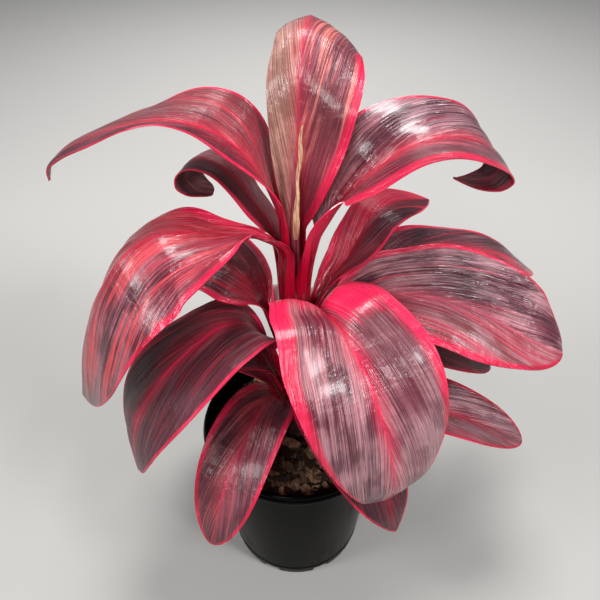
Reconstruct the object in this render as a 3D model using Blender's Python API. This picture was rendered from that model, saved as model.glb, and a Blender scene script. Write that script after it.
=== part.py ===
"""A ti plant in a black nursery pot: pot, soil, cane, and every leaf as its own solid, in metres, +Z up."""
import math
import random

import bmesh
import bpy
import numpy as np
from mathutils import Vector, noise

# driving dimensions, in metres
MM = 0.001
POT_HEIGHT = 0.161
RIM_RADIUS = 0.0825
WALL_TOP_RADIUS = 0.0790
FOOT_RADIUS = 0.0617
WALL = 0.0018
LIP_DEPTH = 0.0090
LIP_BEAD = 0.0022
LIP_WIDTH = 0.0046
EDGE_ROUND = 0.0012
FLOOR_THICKNESS = 0.0025
POT_SIDES = 56
DRAIN_COUNT = 8
DRAIN_WIDTH = 0.0150
DRAIN_HEIGHT = 0.0060
DRAIN_REACH = 0.0100
DRAIN_OVERRUN = 0.0020

SOIL_TOP = 0.1450
SOIL_GAP = 0.0003
SOIL_SHOULDER = 0.0040
SOIL_LUMP = 0.0008
SOIL_SIDES = 56
SOIL_RINGS = 15
CHIP_COUNT = 170
CHIP_HALF_LENGTHS = (0.0035, 0.0080)
CHIP_RISE = 0.0045
CANE_SOCKET_DEPTH = 0.0600
CANE_CLEARANCE = 0.0003

CANE_TOP = 0.3000
CANE_RADIUS_LOW = 0.0092
CANE_RADIUS_HIGH = 0.0080
CANE_SIDES = 18
CANE_RING_SPACING = 0.0180
CANE_RING_RELIEF = 0.0006
CANE_RING_WIDTH = 0.0012
CANE_CROWN_ROUND = 0.0020

# the young leaf's and the dry strip's rings: height above the foot, half width, half depth or lean
YOUNG_DEPTH = 0.0038
YOUNG_RINGS = [(0.0, 0.0, 0.0), (0.004, 0.0036, 0.0034), (0.030, 0.0040, YOUNG_DEPTH),
               (0.062, 0.0036, 0.0034), (0.090, 0.0022, 0.0020), (0.112, 0.0, 0.0)]
STRIP_THICKNESS = 0.0012
STRIP_FOOT = 0.3520
STRIP_SHIFT = 0.0010
STRIP_RINGS = [(0.0, 0.0, 0.0), (0.003, 0.0020, 0.0), (0.020, 0.0026, 0.0005), (0.040, 0.0026, 0.0010),
               (0.060, 0.0020, 0.0020), (0.076, 0.0010, 0.0035), (0.080, 0.0, 0.0042)]

LEAF_STATIONS = 24
LEAF_STRIPS = 3
BLADE_THICKNESS = 0.0008
PETIOLE_THICKNESS = 0.0026
MIDRIB_DEPTH = 0.0014
BASE_HALF_WIDTH = 0.0096
BASE_WRAP_DEG = 54.0
PETIOLE_CHANNEL_DEG = 62.0
PETIOLE_HALF_WIDTH = 0.0080
TIP_HALF_WIDTH = 0.0012
SWING_REACH = 24.0
END_CROWDING = 0.07
SEED = 7

# every leaf: azimuth in degrees, height at the cane, then its midrib as (reach, height) in millimetres,
# the share of its length that is petiole, how far round the cane it starts, in degrees,
# the half widths right and left of the midrib looking outward, the outline's powers at base and tip
# (first the right half's, then the left's where it differs), and the lift of each half in degrees as
# (share of the blade, at the midrib, at the margin); the wave is its height in millimetres, turns, phase;
# the stalk, where given, is the half width of a petiole that is broader than most, and the veer is how
# far the leaf turns aside by its tip, in degrees
LEAVES = {
    "leaf_top_centre": dict(
        azimuth=80, node=290,
        midrib=[(9, 304), (9, 322), (9, 345), (10, 368), (11, 400), (15, 430), (22, 457), (36, 475),
                (58, 478), (82, 464), (98, 438)],
        petiole=0.24, swing=0, right=42, left=22, outline=(0.62, 0.34),
        lift_right=[(0, 40, 35), (0.35, 18, -4), (0.6, -16, -50), (1, -20, -45)],
        lift_left=[(0, 40, 35), (0.35, 25, 5), (0.6, -10, -45), (1, -20, -45)],
        wave=(2.0, 1.5, 0.1)),
    "leaf_upper_left": dict(
        azimuth=187, node=284,
        midrib=[(10, 298), (9, 320), (9, 345), (11, 367), (16, 386), (24, 403), (37, 420), (57, 433),
                (76, 437), (98, 435), (118, 429), (136, 422), (147, 413), (149, 404)],
        petiole=0.32, swing=8, right=34, left=15, outline=(0.60, 0.85, 0.80, 0.62),
        lift_right=[(0, 20, 15), (0.3, 38, 28), (0.6, 5, -10), (1, -5, -20)],
        lift_left=[(0, -10, -20), (0.3, -10, -20), (0.6, 15, 5), (1, 15, -10)],
        wave=(2.0, 1.5, 0.4)),
    "leaf_curled_small": dict(
        azimuth=163, node=252,
        midrib=[(12, 263), (14, 275), (14, 300), (15, 322), (19, 346), (27, 367), (38, 385), (51, 397),
                (65, 400), (76, 394), (79, 383), (71, 375), (59, 374)],
        petiole=0.38, swing=-28, right=20, left=18, outline=(0.90, 0.40),
        lift_right=[(0, 20, 0), (1, -5, -15)],
        lift_left=[(0, 0, -10), (0.5, 8, 0), (1, -15, -20)],
        wave=(1.0, 1.5, 0.2)),
    "leaf_upper_right": dict(
        azimuth=7, node=276,
        midrib=[(10, 290), (11, 310), (13, 328), (16, 344), (19, 357), (25, 369), (34, 381), (48, 394),
                (62, 406), (76, 414), (92, 418), (108, 417), (123, 412), (134, 404), (138, 395),
                (132, 387), (119, 386), (106, 389)],
        petiole=0.27, swing=-43.5, right=36, left=38, outline=(0.80, 0.80, 0.46, 0.95), stalk=10.5,
        lift_right=[(0, 30, 20), (0.4, 10, 0), (1, -5, -10)],
        lift_left=[(0, 34, 36), (0.3, 52, 52), (0.6, 26, 18), (0.85, -5, -20)],
        wave=(2.0, 2.0, 0.0)),
    "leaf_right_folded": dict(
        azimuth=34, node=262,
        midrib=[(13, 274), (20, 289), (33, 303), (48, 315), (59, 331), (70, 345), (87, 350),
                (109, 346), (127, 340)],
        petiole=0.22, swing=-14, right=23, left=21, outline=(0.75, 0.75, 0.80, 0.80),
        lift_right=[(0, 40, 30), (0.5, 0, -12), (1, -10, -20)],
        lift_left=[(0, 60, 60), (0.5, 15, 5), (1, 10, 0)],
        wave=(1.0, 1.0, 0.3)),
    "leaf_right_back": dict(
        azimuth=22, node=234,
        midrib=[(13, 246), (19, 260), (32, 277), (60, 298), (92, 311), (122, 310), (160, 300),
                (196, 283), (228, 259)],
        petiole=0.16, swing=0, right=28, left=30, outline=(0.70, 0.60),
        lift_right=[(0, 0, -10), (0.5, -10, -25), (1, 0, -15)],
        lift_left=[(0, 20, 10), (1, 10, 0)],
        wave=(2.5, 2.0, 0.6)),
    "leaf_right_large": dict(
        azimuth=-7, node=248,
        midrib=[(13, 259), (18, 272), (29, 286), (43, 298), (65, 307), (90, 308), (112, 305),
                (134, 297), (154, 286), (174, 275), (201, 264)],
        petiole=0.20, swing=0, right=47, left=56, outline=(0.55, 0.62, 0.60, 0.46),
        lift_right=[(0, 0, -10), (0.5, 5, -15), (1, 0, -15)],
        lift_left=[(0, 20, 10), (0.5, 18, 8), (0.85, 38, 28), (1, 24, 14)],
        wave=(2.5, 2.0, 0.2)),
    "leaf_front_large": dict(
        azimuth=294.5, node=222, veer=5,
        midrib=[(14, 234), (19, 250), (24, 278), (31, 303), (46, 317), (66, 321), (88, 315),
                (108, 300), (124, 278), (133, 254), (136, 232), (130, 212)],
        petiole=0.28, swing=0, right=51, left=49, outline=(0.44, 0.66, 0.42, 0.44),
        lift_right=[(0, 215, -170), (0.1, 165, -130), (0.22, 55, -30), (0.4, 15, -15), (1, 0, -20)],
        lift_left=[(0, 260, -200), (0.1, 190, -140), (0.22, 64, -28), (0.35, 24, -8), (1, 5, -10)],
        wave=(2.0, 1.5, 0.5)),
    "leaf_left_large": dict(
        azimuth=200, node=262,
        midrib=[(12, 272), (14, 282), (14, 305), (14, 328), (14, 342), (18, 352), (26, 358), (37, 361),
                (51, 363), (72, 370), (92, 372), (112, 363), (134, 336), (152, 296), (162, 254)],
        petiole=0.33, swing=38, right=55, left=56, outline=(0.95, 0.60, 0.55, 0.50),
        lift_right=[(0, 20, 10), (0.4, -15, -35), (1, -10, -25)],
        lift_left=[(0, -10, -15), (0.4, -20, -35), (1, -10, -20)],
        wave=(3.0, 1.5, 0.3)),
    "leaf_left_lower": dict(
        azimuth=213, node=206,
        midrib=[(14, 221), (20, 240), (29, 270), (42, 292), (62, 297), (84, 290), (102, 279),
                (118, 264), (131, 246), (139, 223), (141, 195)],
        petiole=0.22, swing=-3, right=44, left=45, outline=(0.70, 0.55, 0.70, 0.72),
        lift_right=[(0, 10, 10), (0.4, -5, -15), (1, 0, -10)],
        lift_left=[(0, 0, -10), (0.4, 6, 0), (1, 5, -5)],
        wave=(2.0, 1.5, 0.0)),
    "leaf_front_lower": dict(
        azimuth=243, node=170,
        midrib=[(14, 183), (20, 199), (36, 221), (60, 227), (85, 220), (104, 207), (120, 188),
                (134, 163)],
        petiole=0.16, swing=0, right=27, left=28, outline=(0.60, 0.55),
        lift_right=[(0, 20, 10), (1, 10, -10)],
        lift_left=[(0, 20, 10), (1, 10, -10)],
        wave=(1.0, 1.5, 0.5)),
    "leaf_right_lower": dict(
        azimuth=-15, node=160,
        midrib=[(13, 175), (29, 193), (60, 205), (92, 208), (126, 206), (155, 200), (186, 191)],
        petiole=0.25, swing=0, right=32, left=32, outline=(0.70, 0.55),
        lift_right=[(0, 30, 20), (1, 20, 10)],
        lift_left=[(0, 20, 15), (1, 10, 0)],
        wave=(1.0, 1.5, 0.7)),
    "leaf_front_under": dict(
        azimuth=303, node=186,
        midrib=[(14, 198), (20, 213), (36, 234), (64, 232), (90, 219), (112, 202), (128, 185),
                (135, 170)],
        petiole=0.19, swing=0, right=36, left=36, outline=(0.45, 0.70),
        lift_right=[(0, 10, 0), (1, 0, -15)],
        lift_left=[(0, 10, 0), (1, 0, -15)],
        wave=(1.0, 1.5, 0.1)),
    "leaf_right_under": dict(
        azimuth=-3, node=200,
        midrib=[(14, 212), (20, 226), (34, 243), (62, 257), (100, 255), (132, 246), (156, 234)],
        petiole=0.25, swing=0, right=26, left=26, outline=(0.70, 0.55),
        lift_right=[(0, 20, 10), (1, 10, 0)],
        lift_left=[(0, 20, 10), (1, 10, 0)],
        wave=(1.0, 1.0, 0.4)),
    "leaf_left_middle": dict(
        azimuth=168, node=238,
        midrib=[(13, 249), (18, 265), (24, 284), (30, 298), (41, 314), (56, 325), (82, 328),
                (108, 320), (124, 309), (134, 297)],
        petiole=0.26, swing=14, right=34, left=38, outline=(0.60, 0.55),
        lift_right=[(0, 20, 10), (1, 5, -10)],
        lift_left=[(0, -20, -30), (0.5, 5, -10), (1, 0, -20)],
        wave=(1.0, 1.5, 0.6)),
    "leaf_left_under": dict(
        azimuth=176, node=190,
        midrib=[(15, 205), (22, 221), (36, 240), (58, 247), (84, 243), (108, 230), (128, 210)],
        petiole=0.20, swing=0, right=28, left=30, outline=(0.60, 0.55),
        lift_right=[(0, 20, 10), (1, 10, 0)],
        lift_left=[(0, 0, -10), (1, 0, -20)],
        wave=(1.0, 1.5, 0.2)),
    "leaf_back_right": dict(
        azimuth=50, node=216,
        midrib=[(13, 227), (18, 240), (32, 255), (56, 264), (92, 260), (128, 241), (152, 212),
                (160, 187)],
        petiole=0.22, swing=0, right=38, left=38, outline=(0.60, 0.55),
        lift_right=[(0, 20, 10), (1, 10, -10)],
        lift_left=[(0, 20, 10), (1, 10, -10)],
        wave=(2.0, 1.5, 0.3)),
    "leaf_back": dict(
        azimuth=82, node=179,
        midrib=[(13, 190), (26, 212), (52, 232), (86, 232), (120, 214), (144, 186)],
        petiole=0.22, swing=0, right=36, left=36, outline=(0.60, 0.55),
        lift_right=[(0, 20, 10), (1, 10, -10)],
        lift_left=[(0, 20, 10), (1, 10, -10)],
        wave=(2.0, 1.5, 0.8)),
    "leaf_back_left": dict(
        azimuth=145, node=160,
        midrib=[(12, 172), (23, 190), (48, 206), (80, 205), (110, 188), (132, 162)],
        petiole=0.22, swing=0, right=30, left=30, outline=(0.60, 0.55),
        lift_right=[(0, 20, 10), (1, 10, -10)],
        lift_left=[(0, 20, 10), (1, 10, -10)],
        wave=(1.0, 1.5, 0.5)),
}

LEAF_RED = (0.190, 0.018, 0.034)
PLASTIC_BLACK = (0.014, 0.014, 0.015)
SOIL_BROWN = (0.060, 0.034, 0.020)
CANE_BROWN = (0.210, 0.100, 0.075)
YOUNG_PINK = (0.480, 0.110, 0.120)
DRY_CREAM = (0.560, 0.380, 0.240)


def clear_scene():
    for item in list(bpy.data.objects):
        bpy.data.objects.remove(item, do_unlink=True)


def material(name, colour, roughness):
    """A plain Principled material."""
    made = bpy.data.materials.new(name)
    made.use_nodes = True
    shader = made.node_tree.nodes["Principled BSDF"]
    shader.inputs["Base Color"].default_value = (*colour, 1.0)
    shader.inputs["Roughness"].default_value = roughness
    return made


def put(name, vertices, faces, finish, sharp_deg=40.0):
    """Adds a closed mesh to the scene, smooth-shaded, with its normals outward."""
    mesh = bpy.data.meshes.new(name)
    mesh.from_pydata([tuple(v) for v in vertices], [], faces)
    work = bmesh.new()
    work.from_mesh(mesh)
    bmesh.ops.recalc_face_normals(work, faces=work.faces)
    work.to_mesh(mesh)
    work.free()
    mesh.shade_smooth()
    mesh.set_sharp_from_angle(angle=math.radians(sharp_deg))
    mesh.materials.append(finish)
    item = bpy.data.objects.new(name, mesh)
    bpy.context.scene.collection.objects.link(item)
    return item


def revolved(name, profile, sides, finish):
    """A closed profile of (radius, height) turned about the upright axis; a zero radius makes a pole."""
    vertices = []
    rings = []
    for radius, height in profile:
        if radius == 0.0:
            rings.append([len(vertices)] * sides)
            vertices.append((0.0, 0.0, height))
            continue
        rings.append(list(range(len(vertices), len(vertices) + sides)))
        for k in range(sides):
            turn = 2.0 * math.pi * k / sides
            vertices.append((radius * math.cos(turn), radius * math.sin(turn), height))
    faces = []
    for one, two in zip(rings, rings[1:] + rings[:1]):
        for k in range(sides):
            n = (k + 1) % sides
            corners = [one[k], one[n], two[n], two[k]]
            kept = [c for i, c in enumerate(corners) if c not in corners[:i]]
            if len(kept) > 2:
                faces.append(kept)
    return put(name, vertices, faces, finish)


def wall_radius(height):
    """Outer radius of the pot's tapered wall."""
    return FOOT_RADIUS + (WALL_TOP_RADIUS - FOOT_RADIUS) * height / POT_HEIGHT


def cane_radius(height):
    share = (height - SOIL_TOP) / (CANE_TOP - SOIL_TOP)
    return CANE_RADIUS_LOW + (CANE_RADIUS_HIGH - CANE_RADIUS_LOW) * min(max(share, 0.0), 1.0)


def make_pot(finish):
    """Thin tapered wall, rolled lip, flat foot, and drain openings where wall and foot meet."""
    lip_low = POT_HEIGHT - LIP_DEPTH
    inner_floor = wall_radius(FLOOR_THICKNESS) - WALL
    profile = [
        (0.0, 0.0),
        (FOOT_RADIUS - EDGE_ROUND, 0.0),
        (FOOT_RADIUS, EDGE_ROUND),
        (wall_radius(lip_low), lip_low),
        (RIM_RADIUS - 0.8 * EDGE_ROUND, lip_low),
        (RIM_RADIUS - 0.2 * EDGE_ROUND, lip_low + 0.8 * EDGE_ROUND),
        (RIM_RADIUS, POT_HEIGHT - LIP_BEAD),
        (RIM_RADIUS - 0.3 * LIP_BEAD, POT_HEIGHT - 0.3 * LIP_BEAD),
        (RIM_RADIUS - LIP_BEAD, POT_HEIGHT),
        (RIM_RADIUS - 0.87 * LIP_WIDTH, POT_HEIGHT - 0.2 * LIP_BEAD),
        (RIM_RADIUS - LIP_WIDTH, POT_HEIGHT - 0.7 * LIP_BEAD),
        (wall_radius(lip_low) - WALL, lip_low),
        (inner_floor, FLOOR_THICKNESS),
        (0.0, FLOOR_THICKNESS),
    ]
    pot = revolved("pot", profile, POT_SIDES, finish)
    middle = (DRAIN_HEIGHT - DRAIN_OVERRUN) / 2.0
    for k in range(DRAIN_COUNT):
        turn = 2.0 * math.pi * (k + 0.5) / DRAIN_COUNT - math.pi / 2.0
        cutter = box(
            f"drain_cutter_{k + 1}",
            (DRAIN_REACH, DRAIN_WIDTH, DRAIN_HEIGHT + DRAIN_OVERRUN),
            (FOOT_RADIUS * math.cos(turn), FOOT_RADIUS * math.sin(turn), middle),
            turn,
        )
        cut = pot.modifiers.new(f"drain_{k + 1}", "BOOLEAN")
        cut.operation = "DIFFERENCE"
        cut.solver = "EXACT"
        cut.object = cutter
    return pot


def box(name, size, centre, turn):
    """A wire-shown cutting box, turned about the upright axis."""
    corners = []
    for x in (-0.5, 0.5):
        for y in (-0.5, 0.5):
            for z in (-0.5, 0.5):
                corners.append((x * size[0], y * size[1], z * size[2]))
    faces = [(0, 1, 3, 2), (4, 6, 7, 5), (0, 4, 5, 1), (2, 3, 7, 6), (0, 2, 6, 4), (1, 5, 7, 3)]
    mesh = bpy.data.meshes.new(name)
    mesh.from_pydata(corners, [], faces)
    item = bpy.data.objects.new(name, mesh)
    bpy.context.scene.collection.objects.link(item)
    item.location = centre
    item.rotation_euler = (0.0, 0.0, turn)
    item.hide_render = True
    item.display_type = "WIRE"
    return item


def chip_field(draw):
    """Tilted bark chips strewn over the soil: centre, turn, half length, half width, tilt and rise."""
    chips = []
    for _ in range(CHIP_COUNT):
        reach = math.sqrt(draw.random()) * (WALL_TOP_RADIUS - CHIP_HALF_LENGTHS[1])
        turn = draw.uniform(0.0, 2.0 * math.pi)
        half = draw.uniform(*CHIP_HALF_LENGTHS)
        chips.append((
            reach * math.cos(turn), reach * math.sin(turn), draw.uniform(0.0, math.pi), half,
            half * draw.uniform(0.45, 0.8), draw.uniform(-0.25, 0.25), draw.uniform(0.3, 1.0) * CHIP_RISE,
        ))
    return chips


def soil_rise(x, y, chips):
    """Height of the strewn chips above the soil at a point."""
    top = SOIL_LUMP * noise.noise(Vector((x, y, 0.0)) * 160.0)
    for cx, cy, turn, half, width, tilt, rise in chips:
        u = (x - cx) * math.cos(turn) + (y - cy) * math.sin(turn)
        v = (y - cy) * math.cos(turn) - (x - cx) * math.sin(turn)
        if abs(u) < half and abs(v) < width:
            top = max(top, rise + tilt * u)
    return top


def make_soil(finish):
    """The potting mix as one body: a tapered plug with chips in relief and a plain hole for the cane."""
    draw = random.Random(SEED)
    chips = chip_field(draw)
    bottom = FLOOR_THICKNESS + SOIL_GAP
    hole = CANE_RADIUS_LOW + CANE_CLEARANCE
    rim = wall_radius(SOIL_TOP - SOIL_SHOULDER) - WALL - SOIL_GAP
    vertices = []
    rings = []

    def ring(radius, height, lumpy=False):
        start = len(vertices)
        stagger = 0.5 if lumpy and len(rings) % 2 else 0.0
        for k in range(SOIL_SIDES):
            turn = 2.0 * math.pi * (k + stagger) / SOIL_SIDES
            x = radius * math.cos(turn)
            y = radius * math.sin(turn)
            z = height + (soil_rise(x, y, chips) if lumpy else 0.0)
            vertices.append((x, y, z))
        rings.append(list(range(start, start + SOIL_SIDES)))

    inner = hole + SOIL_SHOULDER / 2.0
    outer = rim - SOIL_SHOULDER / 4.0
    ring(hole, SOIL_TOP - CANE_SOCKET_DEPTH)
    ring(hole, SOIL_TOP)
    for step in range(1, SOIL_RINGS):
        share = step / SOIL_RINGS
        ring(inner + (outer - inner) * share, SOIL_TOP, lumpy=True)
    ring(rim, SOIL_TOP - SOIL_SHOULDER / 4.0)
    ring(rim, SOIL_TOP - SOIL_SHOULDER)
    ring(wall_radius(bottom) - WALL - SOIL_GAP, bottom)
    faces = []
    for one, two in zip(rings, rings[1:]):
        for k in range(SOIL_SIDES):
            n = (k + 1) % SOIL_SIDES
            faces.append((one[k], one[n], two[k]))
            faces.append((one[n], two[n], two[k]))
    faces.append(tuple(reversed(rings[0])))
    faces.append(tuple(rings[-1]))
    return put("soil", vertices, faces, finish, 20.0)


def make_cane(finish):
    """The woody stem, with the shallow rings that fallen leaves leave."""
    low = SOIL_TOP - CANE_SOCKET_DEPTH + CANE_CLEARANCE
    profile = [(0.0, low), (CANE_RADIUS_LOW, low), (CANE_RADIUS_LOW, SOIL_TOP)]
    height = SOIL_TOP + CANE_RING_SPACING
    while height < CANE_TOP - CANE_RING_SPACING / 3.0:
        radius = cane_radius(height)
        profile.append((radius - CANE_RING_RELIEF, height - CANE_RING_WIDTH))
        profile.append((radius, height))
        height += CANE_RING_SPACING
    profile.append((CANE_RADIUS_HIGH * 0.8, CANE_TOP - CANE_CROWN_ROUND))
    profile.append((CANE_RADIUS_HIGH * 0.5, CANE_TOP))
    profile.append((0.0, CANE_TOP))
    return revolved("cane", profile, CANE_SIDES, finish)


def smooth(x):
    x = np.clip(x, 0.0, 1.0)
    return x * x * (3.0 - 2.0 * x)


def eased(keys, column, share):
    """A value eased between its keys, each key led by its share of the way."""
    value = np.full(np.shape(share), float(keys[0][column]))
    for one, two in zip(keys, keys[1:]):
        weight = smooth((share - one[0]) / (two[0] - one[0]))
        value = np.where(share >= one[0], one[column] + (two[column] - one[column]) * weight, value)
    return value


def curve(points, shares):
    """Points at the given shares of the length of a smooth curve through the given ones."""
    p = np.vstack([2.0 * points[0] - points[1], points, 2.0 * points[-1] - points[-2]])
    dense = []
    for i in range(1, len(p) - 2):
        a, b, c, d = p[i - 1:i + 3]
        knots = np.cumsum([0.0, *(np.linalg.norm(e) ** 0.5 for e in (b - a, c - b, d - c))])
        for t in np.linspace(knots[1], knots[2], 24, endpoint=False):
            ab = a + (b - a) * (t - knots[0]) / (knots[1] - knots[0])
            bc = b + (c - b) * (t - knots[1]) / (knots[2] - knots[1])
            cd = c + (d - c) * (t - knots[2]) / (knots[3] - knots[2])
            left = ab + (bc - ab) * (t - knots[0]) / (knots[2] - knots[0])
            right = bc + (cd - bc) * (t - knots[1]) / (knots[3] - knots[1])
            dense.append(left + (right - left) * (t - knots[1]) / (knots[2] - knots[1]))
    dense.append(p[-2])
    dense = np.array(dense)
    run = np.concatenate([[0.0], np.cumsum(np.linalg.norm(np.diff(dense, axis=0), axis=1))])
    at = shares * run[-1]
    return np.stack([np.interp(at, run, dense[:, axis]) for axis in range(dense.shape[1])], axis=1)


def unit(vectors):
    return vectors / np.linalg.norm(vectors, axis=-1, keepdims=True)


def leaf_sheet(azimuth, node, midrib, petiole, swing, right, left, outline, lift_right, lift_left, wave,
               stalk=PETIOLE_HALF_WIDTH / MM, veer=0.0, stations=LEAF_STATIONS, strips=LEAF_STRIPS):
    """The middle surface of a leaf: points, and half the thickness above and below each of them."""
    start = cane_radius(node * MM) / MM + CANE_CLEARANCE / MM + PETIOLE_THICKNESS / MM / 2.0
    reach = [(start, node), (start + 0.6, node + 6.0), *midrib]
    share = np.linspace(0.0, 1.0, stations)
    share = share - END_CROWDING * np.sin(2.0 * math.pi * share)
    away, height = curve(np.array(reach, dtype=float), share).T * MM
    turn = np.radians(azimuth + swing * (1.0 - smooth((away / MM - start) / SWING_REACH)) + veer * share ** 2)
    rib = np.stack([away * np.cos(turn), away * np.sin(turn), height], axis=1)
    tangent = unit(np.gradient(rib, share, axis=0))
    across = np.stack([np.sin(turn), -np.cos(turn), np.zeros(stations)], axis=1)
    across = unit(across - (tangent * across).sum(axis=1, keepdims=True) * tangent)
    upward = np.cross(across, tangent)
    blade = np.clip((share - petiole) / (1.0 - petiole), 0.0, 1.0)
    leaving = smooth(share / 0.14)
    stem = (BASE_HALF_WIDTH + (stalk * MM - BASE_HALF_WIDTH) * leaving) * (1.0 - blade)
    wrap = BASE_WRAP_DEG + (PETIOLE_CHANNEL_DEG - BASE_WRAP_DEG) * leaving
    opening = smooth(blade / 0.3)
    points = np.zeros((stations, 2 * strips + 1, 3))
    over = np.zeros((stations, 2 * strips + 1))
    under = np.zeros((stations, 2 * strips + 1))
    for column in range(-strips, strips + 1):
        side = 1.0 if column >= 0 else -1.0
        out = abs(column) / strips
        lift = lift_right if side > 0 else lift_left
        half = (right if side > 0 else left) * MM
        low, high = outline[:2] if side > 0 else outline[-2:]
        peak = low / (low + high)
        swell = (blade / peak) ** low * ((1.0 - blade) / (1.0 - peak)) ** high
        width = np.sqrt(stem ** 2 + (half * swell) ** 2)
        width = np.maximum(width, TIP_HALF_WIDTH)
        inner = np.radians(opening * eased(lift, 1, blade))
        outer = np.radians(opening * eased(lift, 2, blade) + (1.0 - opening) * wrap)
        steps = np.linspace(0.0, out, 9)
        angle = inner[:, None] + (outer - inner)[:, None] * steps
        reach_out = np.trapz(np.cos(angle), steps, axis=1)
        rise = np.trapz(np.sin(angle), steps, axis=1)
        phase = 2.0 * math.pi * (wave[1] * blade + wave[2] + (0.37 if side > 0 else 0.0))
        ripple = wave[0] * MM * out ** 2 * np.sin(phase) * np.sqrt(np.sin(math.pi * blade)).clip(0.0)
        points[:, column + strips] = (
            rib + (side * width * reach_out)[:, None] * across + (width * rise + ripple)[:, None] * upward
        )
        body = PETIOLE_THICKNESS + (BLADE_THICKNESS - PETIOLE_THICKNESS) * smooth(share / (petiole + 0.1))
        body = body * (1.0 - out) + (0.5 * body + 0.5 * BLADE_THICKNESS) * out
        ridge = MIDRIB_DEPTH * (1.0 - share) * max(0.0, 1.0 - 2.5 * out) * smooth(blade / 0.1)
        over[:, column + strips] = body / 2.0
        under[:, column + strips] = body / 2.0 + ridge
    return points, over, under


def sheet_normals(points):
    """Unit normals of a grid of points, on the leaf's upper side."""
    along = np.gradient(points, axis=0)
    crossing = np.gradient(points, axis=1)
    return unit(np.cross(crossing, along))


def closed_sheet(points, over, under):
    """Vertices and triangles of a sheet with two like faces, closed round its margin."""
    rows, columns = points.shape[:2]
    normals = sheet_normals(points)
    upper = points + normals * over[..., None]
    lower = points - normals * under[..., None]
    vertices = np.vstack([upper.reshape(-1, 3), lower.reshape(-1, 3)])
    shift = rows * columns
    faces = []
    for i in range(rows - 1):
        for j in range(columns - 1):
            a = i * columns + j
            b = a + 1
            c = a + columns + 1
            d = a + columns
            if (j < columns // 2) == (i % 2 == 0):
                pair = ((a, b, c), (a, c, d))
            else:
                pair = ((a, b, d), (b, c, d))
            for one in pair:
                faces.append(one)
                faces.append(tuple(shift + k for k in reversed(one)))
    edge = [j for j in range(columns)]
    edge += [i * columns + columns - 1 for i in range(1, rows)]
    edge += [(rows - 1) * columns + j for j in range(columns - 2, -1, -1)]
    edge += [i * columns for i in range(rows - 2, 0, -1)]
    for one, two in zip(edge, edge[1:] + edge[:1]):
        faces.append((one, shift + two, two))
        faces.append((one, shift + one, shift + two))
    return vertices, faces


def make_leaf(name, finish):
    points, over, under = leaf_sheet(**LEAVES[name])
    vertices, faces = closed_sheet(points, over, under)
    return put(name, vertices, faces, finish, 60.0)


def make_spindle(name, centres, widths, depths, sides, finish):
    """A closed body along a line of centres, each ring an upright ellipse's outline."""
    vertices = [centres[0]]
    for centre, width, depth in zip(centres[1:-1], widths, depths):
        for k in range(sides):
            turn = 2.0 * math.pi * k / sides
            vertices.append((
                centre[0] + width * math.cos(turn), centre[1] + depth * math.sin(turn), centre[2],
            ))
    vertices.append(centres[-1])
    faces = []
    last = len(vertices) - 1
    for k in range(sides):
        n = (k + 1) % sides
        faces.append((0, 1 + n, 1 + k))
        for i in range(len(widths) - 1):
            a = 1 + i * sides
            faces.append((a + k, a + n, a + sides + n, a + sides + k))
        faces.append((last, last - sides + k, last - sides + n))
    return put(name, vertices, faces, finish, 50.0)


def make_crown(young, dry):
    """The rolled young leaf standing on the cane, and the thin dry strip in front of it."""
    foot = CANE_TOP + CANE_CLEARANCE
    make_spindle(
        "young_leaf",
        [(0.0, 0.0, foot + rise) for rise, _, _ in YOUNG_RINGS],
        [width for _, width, _ in YOUNG_RINGS[1:-1]],
        [depth for _, _, depth in YOUNG_RINGS[1:-1]],
        12,
        young,
    )
    seat = YOUNG_DEPTH + CANE_CLEARANCE + STRIP_THICKNESS / 2.0
    make_spindle(
        "dry_strip",
        [(STRIP_SHIFT + lean, lean - seat, STRIP_FOOT + rise) for rise, _, lean in STRIP_RINGS],
        [width for _, width, _ in STRIP_RINGS[1:-1]],
        [STRIP_THICKNESS / 2.0] * (len(STRIP_RINGS) - 2),
        8,
        dry,
    )


def main():
    clear_scene()
    make_pot(material("black plastic", PLASTIC_BLACK, 0.45))
    make_soil(material("potting mix", SOIL_BROWN, 0.95))
    make_cane(material("cane bark", CANE_BROWN, 0.7))
    for name in LEAVES:
        make_leaf(name, material(name.replace("_", " "), LEAF_RED, 0.35))
    make_crown(material("young leaf", YOUNG_PINK, 0.4), material("dry leaf", DRY_CREAM, 0.8))


main()
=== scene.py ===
"""A ti plant in a black nursery pot, dressed over its solid frame, in metres."""

import math
import random

import bpy
import numpy as np
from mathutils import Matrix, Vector, noise


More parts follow.
